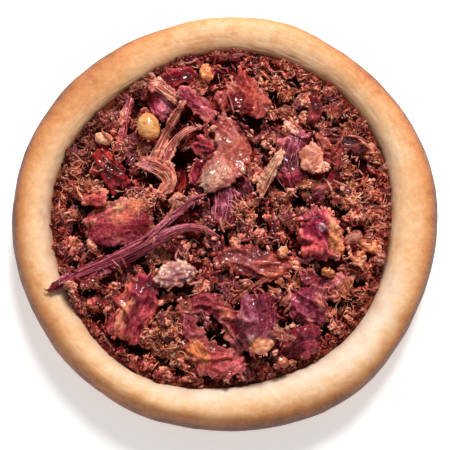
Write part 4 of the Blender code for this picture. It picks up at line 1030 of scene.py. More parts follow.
# Fibres lying along the limbs of a shredded piece, running a little past its ends
def strandsOver(look, terrain, seed):
    draw = np.random.default_rng(seed)
    groups = []
    stations = 30
    for limb in look["limbs"]:
        line = spineOf(limb, stations)
        heading = headings(line)
        sideways = columns(-heading[:, 1], heading[:, 0])
        for strand in range(look["strands"]):
            lane = -0.95 + 1.9 * (strand + draw.uniform(0.1, 0.9)) / look["strands"]
            first, last = sorted(draw.uniform(0, 1, 2))
            if last - first < 0.35:
                first, last = max(first - 0.3, -0.05), min(last + 0.3, 1.05)
            share = np.linspace(first, last, stations) * (stations - 1)
            swing = np.linspace(0, draw.uniform(2, 7), stations) + draw.uniform(0, 6)
            wobble = look["wobble"] * np.sin(swing)
            x, y, half = (np.interp(share, range(stations), line[:, k]) for k in range(3))
            sx, sy = (np.interp(share, range(stations), sideways[:, k]) for k in range(2))
            past = np.clip(share / (stations - 1) - 1, 0, 1) - np.clip(-share / (stations - 1), 0, 1)
            offset = (lane + wobble) * np.maximum(half, 0.45)
            x = x + sx * offset + past * heading[-1, 0] * 20
            y = y + sy * offset + past * heading[-1, 1] * 20
            radius = draw.uniform(*look["strandSize"]) * tapered(stations, 0.12, 0.5)
            z = drooping(terrain.at(x, y), x, y, 0.6)
            z = np.convolve(np.pad(z, 3, mode="edge"), np.ones(7) / 7, mode="valid") + radius * 0.3
            groups.append((columns(x, y, z), radius, draw.uniform(0, 1)))
    paths = np.array([path for path, radius, shade in groups])
    radii = np.array([radius for path, radius, shade in groups])
    shades = np.repeat([shade for path, radius, shade in groups], stations * 5)
    points, faces = tubesAlong(paths, radii)
    along = np.tile(np.repeat(np.arange(stations) * 0.4, 5), len(groups))
    grain = columns(along, shades * 30, points[:, 2])
    colours = blendTones([look["tones"][0], look["tones"][1], look["tones"][2], look["rim"]], shades)
    colours = deepened(colours) * (0.85 + 0.3 * noiseAt(points, 1.2, 4))[:, None]
    return points, faces, {"paint": colours, "grain": grain, "wet": np.full(len(points), look["wet"])}


beefLooks = {
    "dark_beef": {"gloss": 1.0, "glow": 0.08, "sheen": 0.10, "glints": 0.43},
    "plum_beef": {"gloss": 1.0, "glow": 0.08, "sheen": 0.12, "glints": 0.43},
    "red_beef": {"gloss": 1.0, "glow": 0.12, "sheen": 0.12, "glints": 0.46},
    "pink_beef": {"gloss": 1.0, "glow": 0.18, "sheen": 0.18, "glints": 0.44},
    "onion": {"gloss": 1.0, "glow": 0.35, "sheen": 0.40, "glints": 0.44},
    "tallow": {"gloss": 1.0, "glow": 0.30, "sheen": 0.40, "glints": 0.46},
    "fat": {"gloss": 0.8, "glow": 0.30, "sheen": 0.35, "glints": 0.52},
}
beefSurface = {
    "grooveShadeTone": "801a1c",
    "fleckTone": "902426",
    "paleFibre": "dc7c60",
    "paleFleck": "f0a884",
    # How fine each pattern is, per metre
    "fleckNoise": 1500.0,
    "pitNoise": 620.0,
    "glintNoise": 980.0,
}


def beefFinish(name):
    look = beefLooks[name]
    sheet = Finish("wet_" + name, {
        "Specular IOR Level": look["sheen"], "Subsurface Weight": look["glow"],
        "Subsurface Radius": (0.0025, 0.0008, 0.0005), "Subsurface Scale": 0.5,
        "Coat Roughness": 0.17, "Coat IOR": 1.5,
    })
    colour = sheet.attribute("paint", "Color")
    grain = sheet.attribute("grain", "Vector")
    wet = sheet.attribute("wet")
    fibres = sheet.grain(sheet.stretched(grain, (0.24, 1.7, 1.0)), 1.0, 5.0, 0.66, 0.5)
    flecks = sheet.grain(sheet.place(), beefSurface["fleckNoise"], 3.0, 0.6)
    pits = sheet.grain(sheet.place(), beefSurface["pitNoise"], 2.0, 0.5)
    pale = 0.35 if name in ("onion", "fat", "tallow") else 1.0
    tints = {key: tint(code) for key, code in beefSurface.items() if isinstance(code, str)}
    # Painted shade in the fibre grooves, which the bump below also sinks
    colour = sheet.mix(sheet.span(fibres, 0.52, 0.32) * 0.80 * pale, colour, tints["grooveShadeTone"], "MULTIPLY")
    colour = sheet.mix(sheet.span(flecks, 0.48, 0.34) * 0.45 * pale, colour, tints["fleckTone"], "MULTIPLY")
    colour = sheet.mix(sheet.span(fibres, 0.56, 0.72) * 0.34, colour, tints["paleFibre"], "SCREEN")
    colour = sheet.mix(sheet.span(flecks, 0.58, 0.74) * 0.24, colour, tints["paleFleck"], "SCREEN")
    height = fibres * 0.8 + flecks * 0.45 + pits * 0.8
    glints = sheet.grain(sheet.place(), beefSurface["glintNoise"], 2.0, 0.55)
    glints = sheet.span(glints, look["glints"], look["glints"] + 0.08)
    sheet.paint(
        Base_Color=colour,
        Roughness=sheet.span(wet, 0.0, 1.0, 0.66, 0.42) + (flecks - 0.5) * 0.25,
        Coat_Weight=sheet.span(wet, 0.1, 0.75, 0.0, look["gloss"]) * glints,
        Normal=sheet.relief(height, 0.42, 1.0),
    )
    return sheet.material


def makePieces(terrain, finishes):
    total = 0
    for number, (node, changes) in enumerate(pieces.items()):
        look = {**plainPiece, **changes}
        points, faces = fineCopy(node, 0.33)
        points, values = shapePiece(points, faces, look, number * 3 + 1)
        terrain.lay(points, covers=True)
        if look["strands"]:
            more, moreFaces, moreValues = strandsOver(look, terrain, number)
            terrain.lay(more, covers=True)
            faces = np.concatenate([faces, moreFaces + len(points)])
            points = np.concatenate([points, more])
            values = {key: np.concatenate([values[key], moreValues[key]]) for key in values}
        total += len(faces) * 2
        made = meshFrom("torn_" + node, points, faces, values, finishes[look["slot"]])
        settle(made, look["slot"], node)
    print("pieces of beef:", len(pieces), "with", total, "triangles")


# Rounded chunks of onion and fat
plainChunk = {"lumps": (1.2, 0.22), "contrast": 0.7, "wet": 0.7, "speck": "a85a48", "speckShare": 0.3}
chunks = {
    "onion_bead": {"slot": "onion", "tones": ["b86a30", "dc9450", "ecb070"], "lumps": (3.0, 0.12), "wet": 1.0,
                   "contrast": 0.4, "speckShare": 0.0},
    "left_chip": {"slot": "fat", "tones": ["f6a06b", "f6b388", "f6c5a2"], "lumps": (1.0, 0.25), "wet": 0.4},
    "rusty_lump": {"slot": "onion", "tones": ["a84a24", "de7c42", "f4a468"], "lumps": (0.9, 0.35),
                   "wet": 0.4},
    "orange_chip": {"slot": "onion", "tones": ["bc5230", "fc9c66", "ffac7c"], "lumps": (1.2, 0.4),
                    "wet": 0.6},
    "ring_chip": {"slot": "onion", "tones": ["9c4b28", "c97437", "d8905d"], "lumps": (0.9, 0.2), "wet": 0.5},
    "fat_wedge": {"slot": "fat", "tones": ["b9653d", "e1895f", "f1ac85"], "lumps": (1.4, 0.2), "wet": 0.6},
    "amber_chip": {"slot": "onion", "tones": ["96482a", "c46844", "dc8460"], "lumps": (0.9, 0.25),
                   "wet": 0.6},
    "clear_onion": {"slot": "tallow", "tones": ["6e2c23", "9c4b38", "c3775e"], "lumps": (1.4, 0.25),
                    "wet": 1.0},
    "small_chip": {"slot": "onion", "tones": ["bc683e", "e8986a", "f8be94"], "lumps": (0.8, 0.4), "wet": 0.5},
    "orange_lump": {"slot": "onion", "tones": ["943820", "e08054", "f8b488"],
                    "lumps": (0.9, 0.5), "wet": 0.5},
}


def makeChunks(terrain, finishes):
    for number, (node, changes) in enumerate(chunks.items()):
        look = {**plainChunk, **changes}
        points, faces = fineCopy(node, 0.30)
        points = softened(points, faces, 4, 0.5)
        facing = normalsOf(points, faces)
        size, depth = look["lumps"]
        lumps = layered(points, size, 3, number + 40)
        points = points + facing * (lumps * depth)[:, None]
        cloud = layered(points, 2.4, 3, number + 60)
        # Painted shade and light: the bumps of the lumps are paler and their dips darker
        colours = blendTones(look["tones"], np.clip(0.5 + look["contrast"] * (cloud + lumps), 0, 1))
        specks = smooth(0.25, 0.6, layered(points, 1.1, 3, number + 80))
        colours = towards(colours, tone(look["speck"]), specks * look["speckShare"])
        values = {"paint": colours, "grain": points * 0.4, "wet": np.full(len(points), look["wet"])}
        terrain.lay(points, covers=True)
        made = meshFrom("chunk_" + node, points, faces, values, finishes[look["slot"]])
        settle(made, look["slot"], node)
    print("chunks of onion and fat:", len(chunks))


# The crumbled filling under and between the pieces
mince = {
    "edgeRadius": 48.2,
    "bareLevel": 12.6,  # of the core where the heap doesn't reach
    "smoothings": 14,  # of the heap's facets under the core
    "cells": 132,
    "sink": 1.5,  # how far the dark core lies below the crumbs' tops
    # Deep gaps between the clumps, darkened further with painted shade: (x, y, radius, depth)
    "hollows": [
        (7.9, 24.9, 2.4, 2.5), (11.6, 35.0, 2.4, 2.6), (30.5, -24.6, 1.8, 2.6), (-23.2, -13.3, 2.6, 2.6),
        (-13.8, 15.8, 3.2, 3.0), (-32.7, 31.7, 2.8, 2.4), (-21.1, 11.2, 2.4, 2.2), (-4.4, -34.0, 2.4, 2.4),
        (39.3, 0.6, 1.5, 2.0), (-35.5, -29.3, 2.0, 2.2), (-19.0, 5.1, 2.0, 2.0), (26.2, -13.8, 2.0, 2.0),
        (21.0, 3.7, 2.2, 2.4), (9.8, -2.2, 2.4, 2.8), (-36.4, -23.6, 2.0, 1.8), (-17.2, -2.6, 2.2, 2.2),
        (-41.4, -13.8, 1.8, 2.0), (-14.5, -25.8, 2.2, 2.4), (-23.6, -37.0, 1.6, 2.0),
    ],
    # Where the crumbs are orange and tan rather than red: (x, y, reach, share)
    "warm": [(34, 6, 16, 0.9), (22, 30, 13, 0.75), (-39, 6, 11, 1.0), (14, 39, 8, 0.7), (33, -25, 12, 1.0),
             (-33, -24, 9, 0.35), (-14, -33, 8, 0.7), (6, 1, 8, 0.6), (0, -44, 14, 0.35), (-18, -36, 6, 0.7)],
    "crumbTones": ["2a0610", "8c2028", "cf5546", "f1896a", "fcb89c"],
    "redTones": ["24040e", "801424", "c03c42", "e46e5e", "f6a28a"],
    "coreTones": [(0.30, "1e0104"), (0.46, "52040a"), (0.60, "8e241c"), (0.74, "c45c40")],
    "gapShadeTone": "4c060c",
    "edgeTone": "8c4029",
    "darkFleck": "6c0c12",
    "paleFleck": "f89678",
    # How fine each pattern is, per metre
    "coreNoises": (620.0, 1400.0),
    "crumbNoises": (900.0, 2600.0),
    "clumpCount": 330,
    "clumpGap": 4.2,
    "clumpSeed": 31,
    "clumpsShown": 96,
    # Where loose fibres gather: (x, y, reach, count)
    "fluff": [
        (-16.0, -37.1, 4.0, 110), (-14.2, -33.1, 3.0, 60), (-29.6, 18.6, 3.0, 30), (37.7, 5.4, 5.0, 50),
        (41.4, -2.4, 3.0, 40), (14.0, 39.0, 4.0, 50), (34.0, 12.6, 3.4, 60), (-40.6, 9.6, 5.0, 70),
        (33.7, -25.0, 4.0, 45), (-20.0, 2.6, 3.0, 40), (5.5, -1.6, 4.0, 50),
    ],
    "fluffSeed": 80,
}
# How the loose things are strewn, in this order: how many, how far they may cover the larger pieces,
# the share that strays from the clumps, and how near the wall they go
strewing = {
    "lumps": {"made": "crumb", "count": 300, "seed": 63, "covering": 0.7, "strays": 0.6, "reach": 0.985},
    "bigFlakes": {"made": "flake", "count": 64, "seed": 61, "covering": 0.9, "strays": 0.5, "reach": 0.90},
    "coarseCrumbs": {"made": "crumb", "count": 1250, "seed": 51, "covering": 0.8, "strays": 0.24,
                     "reach": 0.99},
    "smallFlakes": {"made": "flake", "count": 190, "seed": 62, "covering": 0.95, "strays": 0.4,
                    "reach": 0.95},
    "fineCrumbs": {"made": "crumb", "count": 3200, "seed": 52, "covering": 0.9, "strays": 0.36,
                   "reach": 0.99},
    "looseShreds": {"made": "fibre", "count": 420, "seed": 79, "covering": 0.95, "strays": 0.6,
                    "reach": 0.99},
    "looseFibres": {"made": "fibre", "count": 900, "seed": 78, "covering": 0.75, "strays": 0.5,
                    "reach": 0.99},
}


def warmthAt(x, y):
    return np.clip(sum(share * np.exp(-((x - a) ** 2 + (y - b) ** 2) / reach ** 2)
                       for a, b, reach, share in mince["warm"]), 0, 1)


# Painted shade on the crumbs and fibres toward the wall, deepest at the upper left
def wallShade(points):
    x, y = points[:, 0], points[:, 1]
    share = np.hypot(x, y) / wallRadiusAt(np.arctan2(y, x))
    edge = 1 - 0.5 * smooth(0.93, 0.985, share)
    corner = 1 - 0.5 * smooth(0.78, 0.92, share) * smooth(50, 60, y - x)
    return (edge * corner)[:, None]


def hollowAt(x, y):
    return sum(depth * np.exp(-((x - a) ** 2 + (y - b) ** 2) / radius ** 2)
               for a, b, radius, depth in mince["hollows"])


def wallRadiusAt(angle):
    return mince["edgeRadius"] + waves(bread["wallWaves"], angle)


# Scattered places on the filling, none closer than a gap that varies
def spreadPlaces(count, gap, seed, reach=0.975):
    draw = np.random.default_rng(seed)
    kept = np.zeros((0, 2))
    for trial in range(count * 30):
        angle, radius = draw.uniform(0, 2 * math.pi), math.sqrt(draw.uniform(0, 1))
        radius = radius * wallRadiusAt(angle) * reach
        spot = np.array([radius * math.cos(angle), radius * math.sin(angle)])
        if len(kept) and (np.linalg.norm(kept - spot, axis=1) < gap).any():
            continue
        kept = np.concatenate([kept, spot[None]])
        if len(kept) == count:
            break
    return kept


def coreFinish():
    sheet = Finish("darkMince", {"Specular IOR Level": 0.05, "Coat Roughness": 0.2})
    place = sheet.place()
    coarse = sheet.grain(place, mince["coreNoises"][0], 4.0, 0.7)
    fine = sheet.grain(place, mince["coreNoises"][1], 3.0, 0.6)
    stops = [(at, tint(code)) for at, code in mince["coreTones"]]
    colour = sheet.node("ShaderNodeValToRGB", {"stops": stops}, {0: coarse * 0.7 + fine * 0.3})
    # Painted shade in the gaps between the clumps and in the hollows
    colour = sheet.mix(sheet.attribute("deep") * 0.80, colour, tint(mince["gapShadeTone"]), "MULTIPLY")
    browned = sheet.span(coarse, 0.34, 0.54) * sheet.attribute("edge")
    colour = sheet.mix(browned, colour, tint(mince["edgeTone"]))
    sheet.paint(Base_Color=colour, Roughness=0.35 + fine * 0.4,
                Coat_Weight=sheet.span(fine, 0.58, 0.7, 0.0, 0.2),
                Normal=sheet.relief(coarse * 0.8 + fine * 0.4, 0.8, 1.0))
    return sheet.material


def makeCore(terrain, clumpPlaces):
    cells = mince["cells"]
    ticks = np.linspace(-1, 1, cells + 1)
    u, v = (c.ravel() for c in np.meshgrid(ticks, ticks, indexing="ij"))
    x, y = u * np.sqrt(1 - v * v / 2), v * np.sqrt(1 - u * u / 2)
    angle, share = np.arctan2(y, x), np.hypot(x, y)
    radius = share * wallRadiusAt(angle)
    x, y = radius * np.cos(angle), radius * np.sin(angle)
    heap = treeOf("mince_heap")
    top = np.zeros(len(x))
    for k in range(len(x)):
        hit = heap.ray_cast(Vector((x[k] * 0.995, y[k] * 0.995, 60)), Vector((0, 0, -1)))[0]
        top[k] = hit.z if hit else mince["bareLevel"]
    table = top.reshape(cells + 1, cells + 1)
    for turn in range(mince["smoothings"]):
        padded = np.pad(table, 1, mode="edge")
        table = (padded[1:-1, 1:-1] * 2 + padded[:-2, 1:-1] + padded[2:, 1:-1] + padded[1:-1, :-2]
                 + padded[1:-1, 2:]) / 6
    points = columns(x, y, table.ravel())
    away = nearestGap(points, clumpPlaces)
    inner = 1 - smooth(0.90, 1.0, share)
    relief = layered(points, 3.0, 3, 90) * 0.6 - smooth(1.2, 2.8, away) * 1.3 - hollowAt(x, y) * 0.9
    points[:, 2] += (relief - mince["sink"]) * inner - 0.2 * (1 - inner)
    points[:, 2] = np.maximum(points[:, 2], bread["floor"] + 1.0)
    index = np.arange(len(x)).reshape(cells + 1, cells + 1)
    faces = np.stack([index[:-1, :-1], index[1:, :-1], index[1:, 1:], index[:-1, 1:]], axis=-1).reshape(-1, 4)
    # Painted shade: darker away from the clumps and in the hollows
    deep = np.clip(smooth(1.3, 2.4, away) * inner + hollowAt(x, y) * 0.5, 0, 1)
    values = {"deep": deep, "edge": smooth(0.93, 0.99, share)}
    settle(meshFrom("minceCore", points, faces, values, coreFinish()), "mince", "mince_heap")
    terrain.lay(points)
    print("core of the filling:", len(faces), "faces")


def roundShape(subdivisions):
    bm = bmesh.new()
    bmesh.ops.create_icosphere(bm, subdivisions=subdivisions, radius=1)
    points = np.array([v.co for v in bm.verts])
    faces = np.array([[v.index for v in face.verts] for face in bm.faces])
    bm.free()
    return points, faces


def tumbled(count, draw, tilt=1.0):
    turn = draw.uniform(0, 2 * math.pi, count)
    lean = draw.uniform(-tilt, tilt, count)
    spin = draw.uniform(0, 2 * math.pi, count)
    made = np.zeros((count, 3, 3))
    for k in range(count):
        made[k] = np.array(Matrix.Rotation(turn[k], 3, "Z") @ Matrix.Rotation(lean[k], 3, "X")
                           @ Matrix.Rotation(spin[k], 3, "Z"))
    return made


# The kinds of crumb: rough is (size, depth) of the bumps, slender the width as a share of the length,
# shade the range of tones, depthShade the painted shade on lower crumbs, cavity the painted shade in the dips
crumbs = {
    "clumps": {
        "seed": 41, "detail": 4, "variants": 14, "rough": (1.0, 0.36), "ridges": 0.28, "size": (1.3, 2.6),
        "slender": (0.5, 1.0), "tilt": 0.8, "lift": 0.30, "shade": (0.50, 0.90), "depthShade": 0.07,
        "cavityShade": 1.7, "wet": 0.3, "angular": False,
    },
    "lumps": {
        "seed": 46, "detail": 3, "variants": 20, "rough": (0.9, 0.40), "ridges": 0.30, "size": (0.8, 1.8),
        "slender": (0.4, 0.9), "tilt": 1.2, "lift": 0.28, "shade": (0.46, 0.96), "depthShade": 0.12,
        "cavityShade": 1.6, "wet": 0.3, "angular": False,
    },
    "coarseCrumbs": {
        "seed": 42, "detail": 2, "variants": 24, "rough": (0.55, 0.5), "ridges": 0.0, "size": (0.5, 1.3),
        "slender": (0.28, 0.6), "tilt": 3.1, "lift": 0.25, "shade": (0.20, 1.08), "depthShade": 0.19,
        "cavityShade": 0.6, "wet": 0.4, "angular": True,
    },
    "fineCrumbs": {
        "seed": 43, "detail": 1, "variants": 24, "rough": (0.6, 0.5), "ridges": 0.0, "size": (0.26, 0.70),
        "slender": (0.28, 0.6), "tilt": 3.1, "lift": 0.2, "shade": (0.22, 1.08), "depthShade": 0.19,
        "cavityShade": 0.4, "wet": 0.4, "angular": True,
    },
}


# Crumbs made from a few rough shapes, each turned, stretched and laid on what is below it
def scatterCrumbs(name, terrain, finish, places):
    recipe = crumbs[name]
    draw = np.random.default_rng(recipe["seed"])
    base, baseFaces = roundShape(recipe["detail"])
    shapes, hollowness = [], []
    for variant in range(recipe["variants"]):
        offset = base + variant * 5.3
        rough = layered(offset, recipe["rough"][0], 3, variant) * recipe["rough"][1]
        warped = offset + 0.2 * np.stack([layered(offset, 0.6, 2, k) for k in (3, 4, 5)], axis=1)
        crests = ridged(layered(warped * (0.6, 1, 1), 0.42, 2, variant + 50), 0.5) - 0.45
        rough = rough + crests * recipe["ridges"] + noiseAt(offset, 0.2, variant) * recipe["ridges"] * 0.4
        shapes.append(base * (1 + rough)[:, None])
        hollowness.append(rough)
    shapes, hollowness = np.array(shapes), np.array(hollowness)
    count = len(places)
    sizes = recipe["size"][0] + (recipe["size"][1] - recipe["size"][0]) * draw.uniform(0, 1, count) ** 1.8
    stretch = columns(np.ones(count), draw.uniform(*recipe["slender"], count), draw.uniform(0.4, 0.75, count))
    variant = draw.integers(0, recipe["variants"], count)
    turn = tumbled(count, draw, recipe["tilt"])
    heights = np.zeros(count)
    for k, (x, y) in enumerate(places):
        reach = sizes[k] * 0.8
        heights[k] = terrain.rest(x, y, reach) + sizes[k] * recipe["lift"]
        terrain.stamp(x, y, sizes[k] * 0.9, heights[k] + sizes[k] * 0.5)
    scaled = shapes[variant] * (sizes[:, None] * stretch)[:, None, :]
    points = np.einsum("nij,nkj->nki", turn, scaled)
    points += columns(places[:, 0], places[:, 1], heights)[:, None]
    x, y = places[:, 0], places[:, 1]
    warm = np.clip(warmthAt(x, y) + draw.normal(0, 0.22, count), 0, 1)
    # Painted shade: crumbs lying lower are darker, and each crumb's dips darker than its bumps
    level = draw.uniform(*recipe["shade"], count) - recipe["depthShade"] * (heights.mean() + 0.5 - heights)
    level = level[:, None] + hollowness[variant] * recipe["cavityShade"]
    points = points.reshape(-1, 3)
    level = np.clip(level.ravel() + 0.16 * noiseAt(points, 0.7, 3), 0, 1)
    warm = np.repeat(warm, len(base))[:, None]
    colours = warmOrRed(mince, "crumbTones", "redTones", level, warm)
    colours = deepened(colours) * wallShade(points)
    index = (np.arange(count) * len(base))[:, None, None] + baseFaces[None]
    faces = index.reshape(-1, 3)
    values = {"paint": colours, "grain": points * 0.7, "wet": np.full(len(points), recipe["wet"])}
    made = meshFrom(name, points, faces, values, finish)
    if recipe["angular"]:
        made.data.shade_flat()
    settle(made, "mince", "mince_heap")
    print(name + ":", count, "with", len(faces), "triangles")


# Torn flakes of beef: thin, creased and curled, lying over the crumbs between the larger pieces
flakes = {
    "palettes": [
        (["4a1026", "7c2e46", "a85c6a"], "cf8470"),
        (["5c141c", "963234", "bc5c50"], "dc8c68"),
        (["7c2c30", "b45850", "d88c74"], "e8aa84"),
        (["6c2818", "b05638", "dc8860"], "e8a480"),
        (["26070c", "521420", "7c2a30"], "a85448"),
    ],
    "shares": [0.27, 0.30, 0.14, 0.11, 0.18],
    "warmShares": [0.14, 0.20, 0.14, 0.38, 0.14],
    "tilt": 0.45,
    "thickness": 0.13,
}
flakeKinds = {
    "bigFlakes": {"seed": 44, "detail": 4, "variants": 16, "size": (2.0, 3.6), "lift": 0.4},
    "smallFlakes": {"seed": 45, "detail": 3, "variants": 24, "size": (0.9, 2.0), "lift": 0.25},
}


def scatterFlakes(name, terrain, finish, places):
    recipe = flakeKinds[name]
    draw = np.random.default_rng(recipe["seed"])
    base, baseFaces = roundShape(recipe["detail"])
    turn = np.arctan2(base[:, 1], base[:, 0])
    rim = np.hypot(base[:, 0], base[:, 1])
    circle = columns(np.cos(turn), np.sin(turn), np.zeros(len(turn)))
    shapes, levels, rimsAndCrestLight = [], [], []
    for variant in range(recipe["variants"]):
        shift = variant * 4.7
        outline = 1 + 0.50 * layered(circle * 0.9 + shift, 0.9, 2) + 0.40 * noiseAt(circle + shift, 0.30, 2)
        outline += 0.25 * noiseAt(circle + shift, 0.14, 4)
        flat = base * (1, draw.uniform(0.3, 0.75), 0) * (1 + (outline - 1) * smooth(0.2, 1.0, rim))[:, None]
        crease = ridged(layered(flat * (0.5, 1.3, 1) + shift, 0.75, 2, 5), 0.5) ** 1.5
        bow = draw.uniform(-0.25, 0.45) * flat[:, 0] ** 2 + draw.uniform(-0.2, 0.5) * flat[:, 1] ** 2
        flat[:, 2] = (base[:, 2] * flakes["thickness"] + bow + 0.30 * layered(flat + shift, 0.8, 2, 6)
                      + 0.22 * crease)
        flat[:, 2] += 0.06 * noiseAt(flat * (1, 3, 1) + shift, 0.3, 7)
        shapes.append(flat)
        # Painted shade on the flake's underside and painted light on its crease crests, which also take the
        # rim tone
        streak = noiseAt(flat * (0.6, 3.2, 1) + shift, 0.5, 8)
        levels.append(0.30 + 0.5 * crease + 0.35 * streak - 0.25 * (base[:, 2] < 0))
        rimsAndCrestLight.append(smooth(0.86, 1.0, rim) + smooth(0.75, 1.0, crease) * 0.6)
    shapes, levels, rimsAndCrestLight = np.array(shapes), np.array(levels), np.array(rimsAndCrestLight)
    count = len(places)
    sizes = draw.uniform(*recipe["size"], count)
    variant = draw.integers(0, recipe["variants"], count)
    turned = tumbled(count, draw, flakes["tilt"])
    heights = np.zeros(count)
    for k, (x, y) in enumerate(places):
        heights[k] = terrain.rest(x, y, sizes[k] * 0.8) + recipe["lift"]
        terrain.stamp(x, y, sizes[k] * 0.7, heights[k] + 0.2)
    points = np.einsum("nij,nkj->nki", turned, shapes[variant] * sizes[:, None, None])
    points += columns(places[:, 0], places[:, 1], heights)[:, None]
    warm = warmthAt(places[:, 0], places[:, 1]) > draw.uniform(0, 1, count)
    pick = np.where(warm, draw.choice(len(flakes["shares"]), count, p=flakes["warmShares"]),
                    draw.choice(len(flakes["shares"]), count, p=flakes["shares"]))
    colours = np.zeros((count, len(base), 3))
    shade = draw.uniform(-0.2, 0.2, count)
    for number, (tones, rimTone) in enumerate(flakes["palettes"]):
        for k in np.flatnonzero(pick == number):
            dyed = blendTones(tones, np.clip(levels[variant[k]] + shade[k], 0, 1))
            colours[k] = towards(dyed, tone(rimTone), rimsAndCrestLight[variant[k]] * 0.6)
    points = points.reshape(-1, 3)
    colours = deepened(colours.reshape(-1, 3)) * (0.85 + 0.35 * noiseAt(points, 0.6, 9))[:, None]
    grain = (shapes[variant] * sizes[:, None, None]).reshape(-1, 3)
    faces = ((np.arange(count) * len(base))[:, None, None] + baseFaces[None]).reshape(-1, 3)
    wet = np.repeat(draw.uniform(0.2, 0.9, count), len(base))
    values = {"paint": np.clip(colours, 0, 1), "grain": grain, "wet": wet}
    settle(meshFrom(name, points, faces, values, finish), "mince", "mince_heap")
    print(name + ":", count, "with", len(faces), "triangles")


def crumbFinish():
    sheet = Finish("crumbledBeef", {
        "Specular IOR Level": 0.1, "Subsurface Weight": 0.12, "Subsurface Radius": (0.002, 0.0008, 0.0005),
        "Subsurface Scale": 0.5, "Coat Roughness": 0.14,
    })
    colour = sheet.attribute("paint", "Color")
    place = sheet.place()
    coarse = sheet.grain(place, mince["crumbNoises"][0], 4.0, 0.65)
    fine = sheet.grain(place, mince["crumbNoises"][1], 2.0, 0.6)
    colour = sheet.mix(sheet.span(coarse, 0.50, 0.34) * 0.85, colour, tint(mince["darkFleck"]), "MULTIPLY")
    colour = sheet.mix(sheet.span(coarse, 0.54, 0.70) * 0.40, colour, tint(mince["paleFleck"]), "SCREEN")
    sheet.paint(Base_Color=colour, Roughness=0.46 + fine * 0.35,
                Coat_Weight=sheet.span(fine, 0.56, 0.68, 0.0, 0.8),
                Normal=sheet.relief(coarse * 0.7 + fine * 0.4, 0.45, 0.9))
    return sheet.material


# Fibres and shreds lying loose over the crumbs; arch lifts their middles, bend curls them
fibres = {
    "looseFibres": {
        "seed": 77, "length": (1.2, 3.8), "radius": (0.07, 0.19), "arch": 0.5, "bend": 0.22, "sides": 3,
        "warm": ["701c1c", "c05636", "ea8658", "f8ba90"], "red": ["5c1424", "a84048", "dc7a6c", "f4b098"],
    },
    "orangeFluff": {
        "seed": 81, "length": (1.6, 3.0), "radius": (0.10, 0.26), "arch": 0.8, "bend": 0.30, "sides": 3,
        "warm": ["b44c30", "ec8058", "fc9c78", "ffc8a8"], "red": ["a83c30", "e47058", "f89480", "fcbca8"],
    },
    "looseShreds": {
        "seed": 79, "length": (2.4, 5.0), "radius": (0.20, 0.46), "arch": 0.3, "bend": 0.09, "sides": 6,
        "warm": ["5c1820", "a04030", "d47850", "f0a880"], "red": ["3c0c20", "7c2438", "b05058", "e09080"],
    },
}


fibreStations = 8
fibreFall = 2.4  # a fibre that would rise or fall further is left out
fibreWall = 0.985  # as far out as fibres go, as a share of the wall's radius


def scatterFibres(name, terrain, finish, places):
    look = fibres[name]
    draw = np.random.default_rng(look["seed"])
    stations = fibreStations
    count = len(places)
    length = look["length"][0] + look["length"][1] * draw.uniform(0, 1, count) ** 2
    turn = draw.uniform(0, 2 * math.pi, count)
    bend = draw.normal(0, look["bend"], count)
    wiggle = draw.uniform(0, look["bend"] * 2, count)
    phase = draw.uniform(0, 6, count)
    steps = np.arange(stations)
    heading = turn[:, None] + bend[:, None] * steps + wiggle[:, None] * np.sin(steps * 1.1 + phase[:, None])
    x = places[:, :1] + np.cumsum(np.cos(heading), axis=1) * length[:, None] / stations
    y = places[:, 1:] + np.cumsum(np.sin(heading), axis=1) * length[:, None] / stations
    inside = np.hypot(x, y).max(axis=1) < wallRadiusAt(np.arctan2(y, x)).min(axis=1) * fibreWall
    x, y = x[inside], y[inside]
    count = len(x)
    radius = draw.uniform(*look["radius"], count)[:, None] * tapered(stations, 0.25, 0.6)
    z = drooping(terrain.at(x.ravel(), y.ravel()).reshape(x.shape), x, y)
    lying = z.max(axis=1) - z.min(axis=1) < fibreFall
    x, y, z, radius, count = x[lying], y[lying], z[lying], radius[lying], lying.sum()
    arch = draw.uniform(0.0, look["arch"], count)[:, None] * np.sin(np.linspace(0, math.pi, stations))
    z = (z + np.roll(z, 1, axis=1) + np.roll(z, -1, axis=1)) / 3
    z[:, 0], z[:, -1] = z[:, 1], z[:, -2]
    z += radius * 0.5 + arch
    points, faces = tubesAlong(np.stack([x, y, z], axis=2), radius, look["sides"])
    warm = np.clip(warmthAt(x[:, 0], y[:, 0]) * 0.6 + draw.uniform(0, 0.6, count), 0, 1)[:, None]
    level = draw.uniform(0.2, 1.0, count)
    colours = warmOrRed(look, "warm", "red", level, warm)
    colours = np.repeat(colours, stations * look["sides"], axis=0)
    colours = deepened(colours) * (1 + 0.5 * noiseAt(points, 0.7, 6))[:, None] * wallShade(points)
    values = {"paint": np.clip(colours, 0, 1), "grain": points * 0.7, "wet": np.full(len(points), 0.6)}
    settle(meshFrom(name, points, faces, values, finish), "mince", "mince_heap")
    print(name + ":", count, "with", len(faces) * 2, "triangles")


def gatheredPlaces():
    draw = np.random.default_rng(mince["fluffSeed"])
    return np.concatenate([draw.normal((x, y), reach / 2, (count, 2))
                           for x, y, reach, count in mince["fluff"]])


def nearestGap(spots, others):
    gap = np.full(len(spots), 99.0)
    for start in range(0, len(spots), 20000):
        part = slice(start, start + 20000)
        gap[part] = np.linalg.norm(spots[part, None, :2] - others[None, :, :2], axis=2).min(axis=1)
    return gap


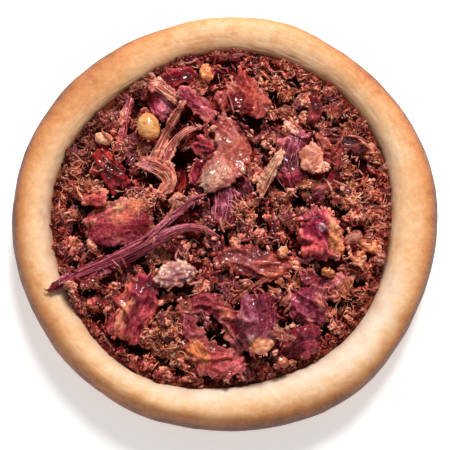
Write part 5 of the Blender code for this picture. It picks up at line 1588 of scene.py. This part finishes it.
# Places that keep off the faces of the larger pieces and mostly keep to the clumps
def openPlaces(look, terrain, clumpPlaces):
    draw = np.random.default_rng(look["seed"])
    count, reach, strays = look["count"], look["reach"], look["strays"]
    cover = terrain.blurred(terrain.cover, 5)
    angle = draw.uniform(0, 2 * math.pi, count * 8)
    share = np.sqrt(draw.uniform(0, 1, count * 8)) * reach
    # Crumbs, not flakes, close the edge at the wall
    atWall = 0.07 if reach > 0.98 else 0
    share = np.where(draw.uniform(0, 1, count * 8) < atWall, draw.uniform(0.94, 0.992, count * 8), share)
    radius = share * wallRadiusAt(angle)
    spots = columns(radius * np.cos(angle), radius * np.sin(angle))
    i, j = terrain.index(spots)
    chance = draw.uniform(0, 1, len(spots))
    near = smooth(2.5, 1.5, nearestGap(spots, clumpPlaces)) * (1 - strays) + strays
    near = np.maximum(near, 0.7 * smooth(0.88, 0.93, share))
    free = (cover[i, j] < look["covering"] * chance) & (hollowAt(spots[:, 0], spots[:, 1]) < 0.6 + chance)
    free &= draw.uniform(0, 1, len(spots)) < near
    return spots[free][:count]


# The clump places that no larger piece and no deep hollow takes
def bareClumps(terrain, clumpPlaces):
    cover = terrain.blurred(terrain.cover, 3)
    i, j = terrain.index(clumpPlaces)
    bare = (cover[i, j] < 0.5) & (hollowAt(clumpPlaces[:, 0], clumpPlaces[:, 1]) < 1.4)
    return clumpPlaces[bare][:mince["clumpsShown"]]


def main():
    makeCamera()
    makeStudio()
    terrain = Terrain()
    terrain.lay(makeBread())
    finishes = {name: beefFinish(name) for name in beefLooks}
    clumpPlaces = spreadPlaces(mince["clumpCount"], mince["clumpGap"], mince["clumpSeed"])
    makeCore(terrain, clumpPlaces)
    makePieces(terrain, finishes)
    makeChunks(terrain, finishes)
    crumb, beef = crumbFinish(), finishes["red_beef"]
    scatterCrumbs("clumps", terrain, crumb, bareClumps(terrain, clumpPlaces))
    for name, look in strewing.items():
        places = openPlaces(look, terrain, clumpPlaces)
        if look["made"] == "crumb":
            scatterCrumbs(name, terrain, crumb, places)
        elif look["made"] == "flake":
            scatterFlakes(name, terrain, beef, places)
        else:
            scatterFibres(name, terrain, beef if name == "looseShreds" else crumb, places)
    scatterFibres("orangeFluff", terrain, crumb, gatheredPlaces())
    shown = [o for o in bpy.data.objects if o.type == "MESH" and not o.hide_render]
    print("triangles in all:", sum(len(p.vertices) - 2 for o in shown for p in o.data.polygons))


main()
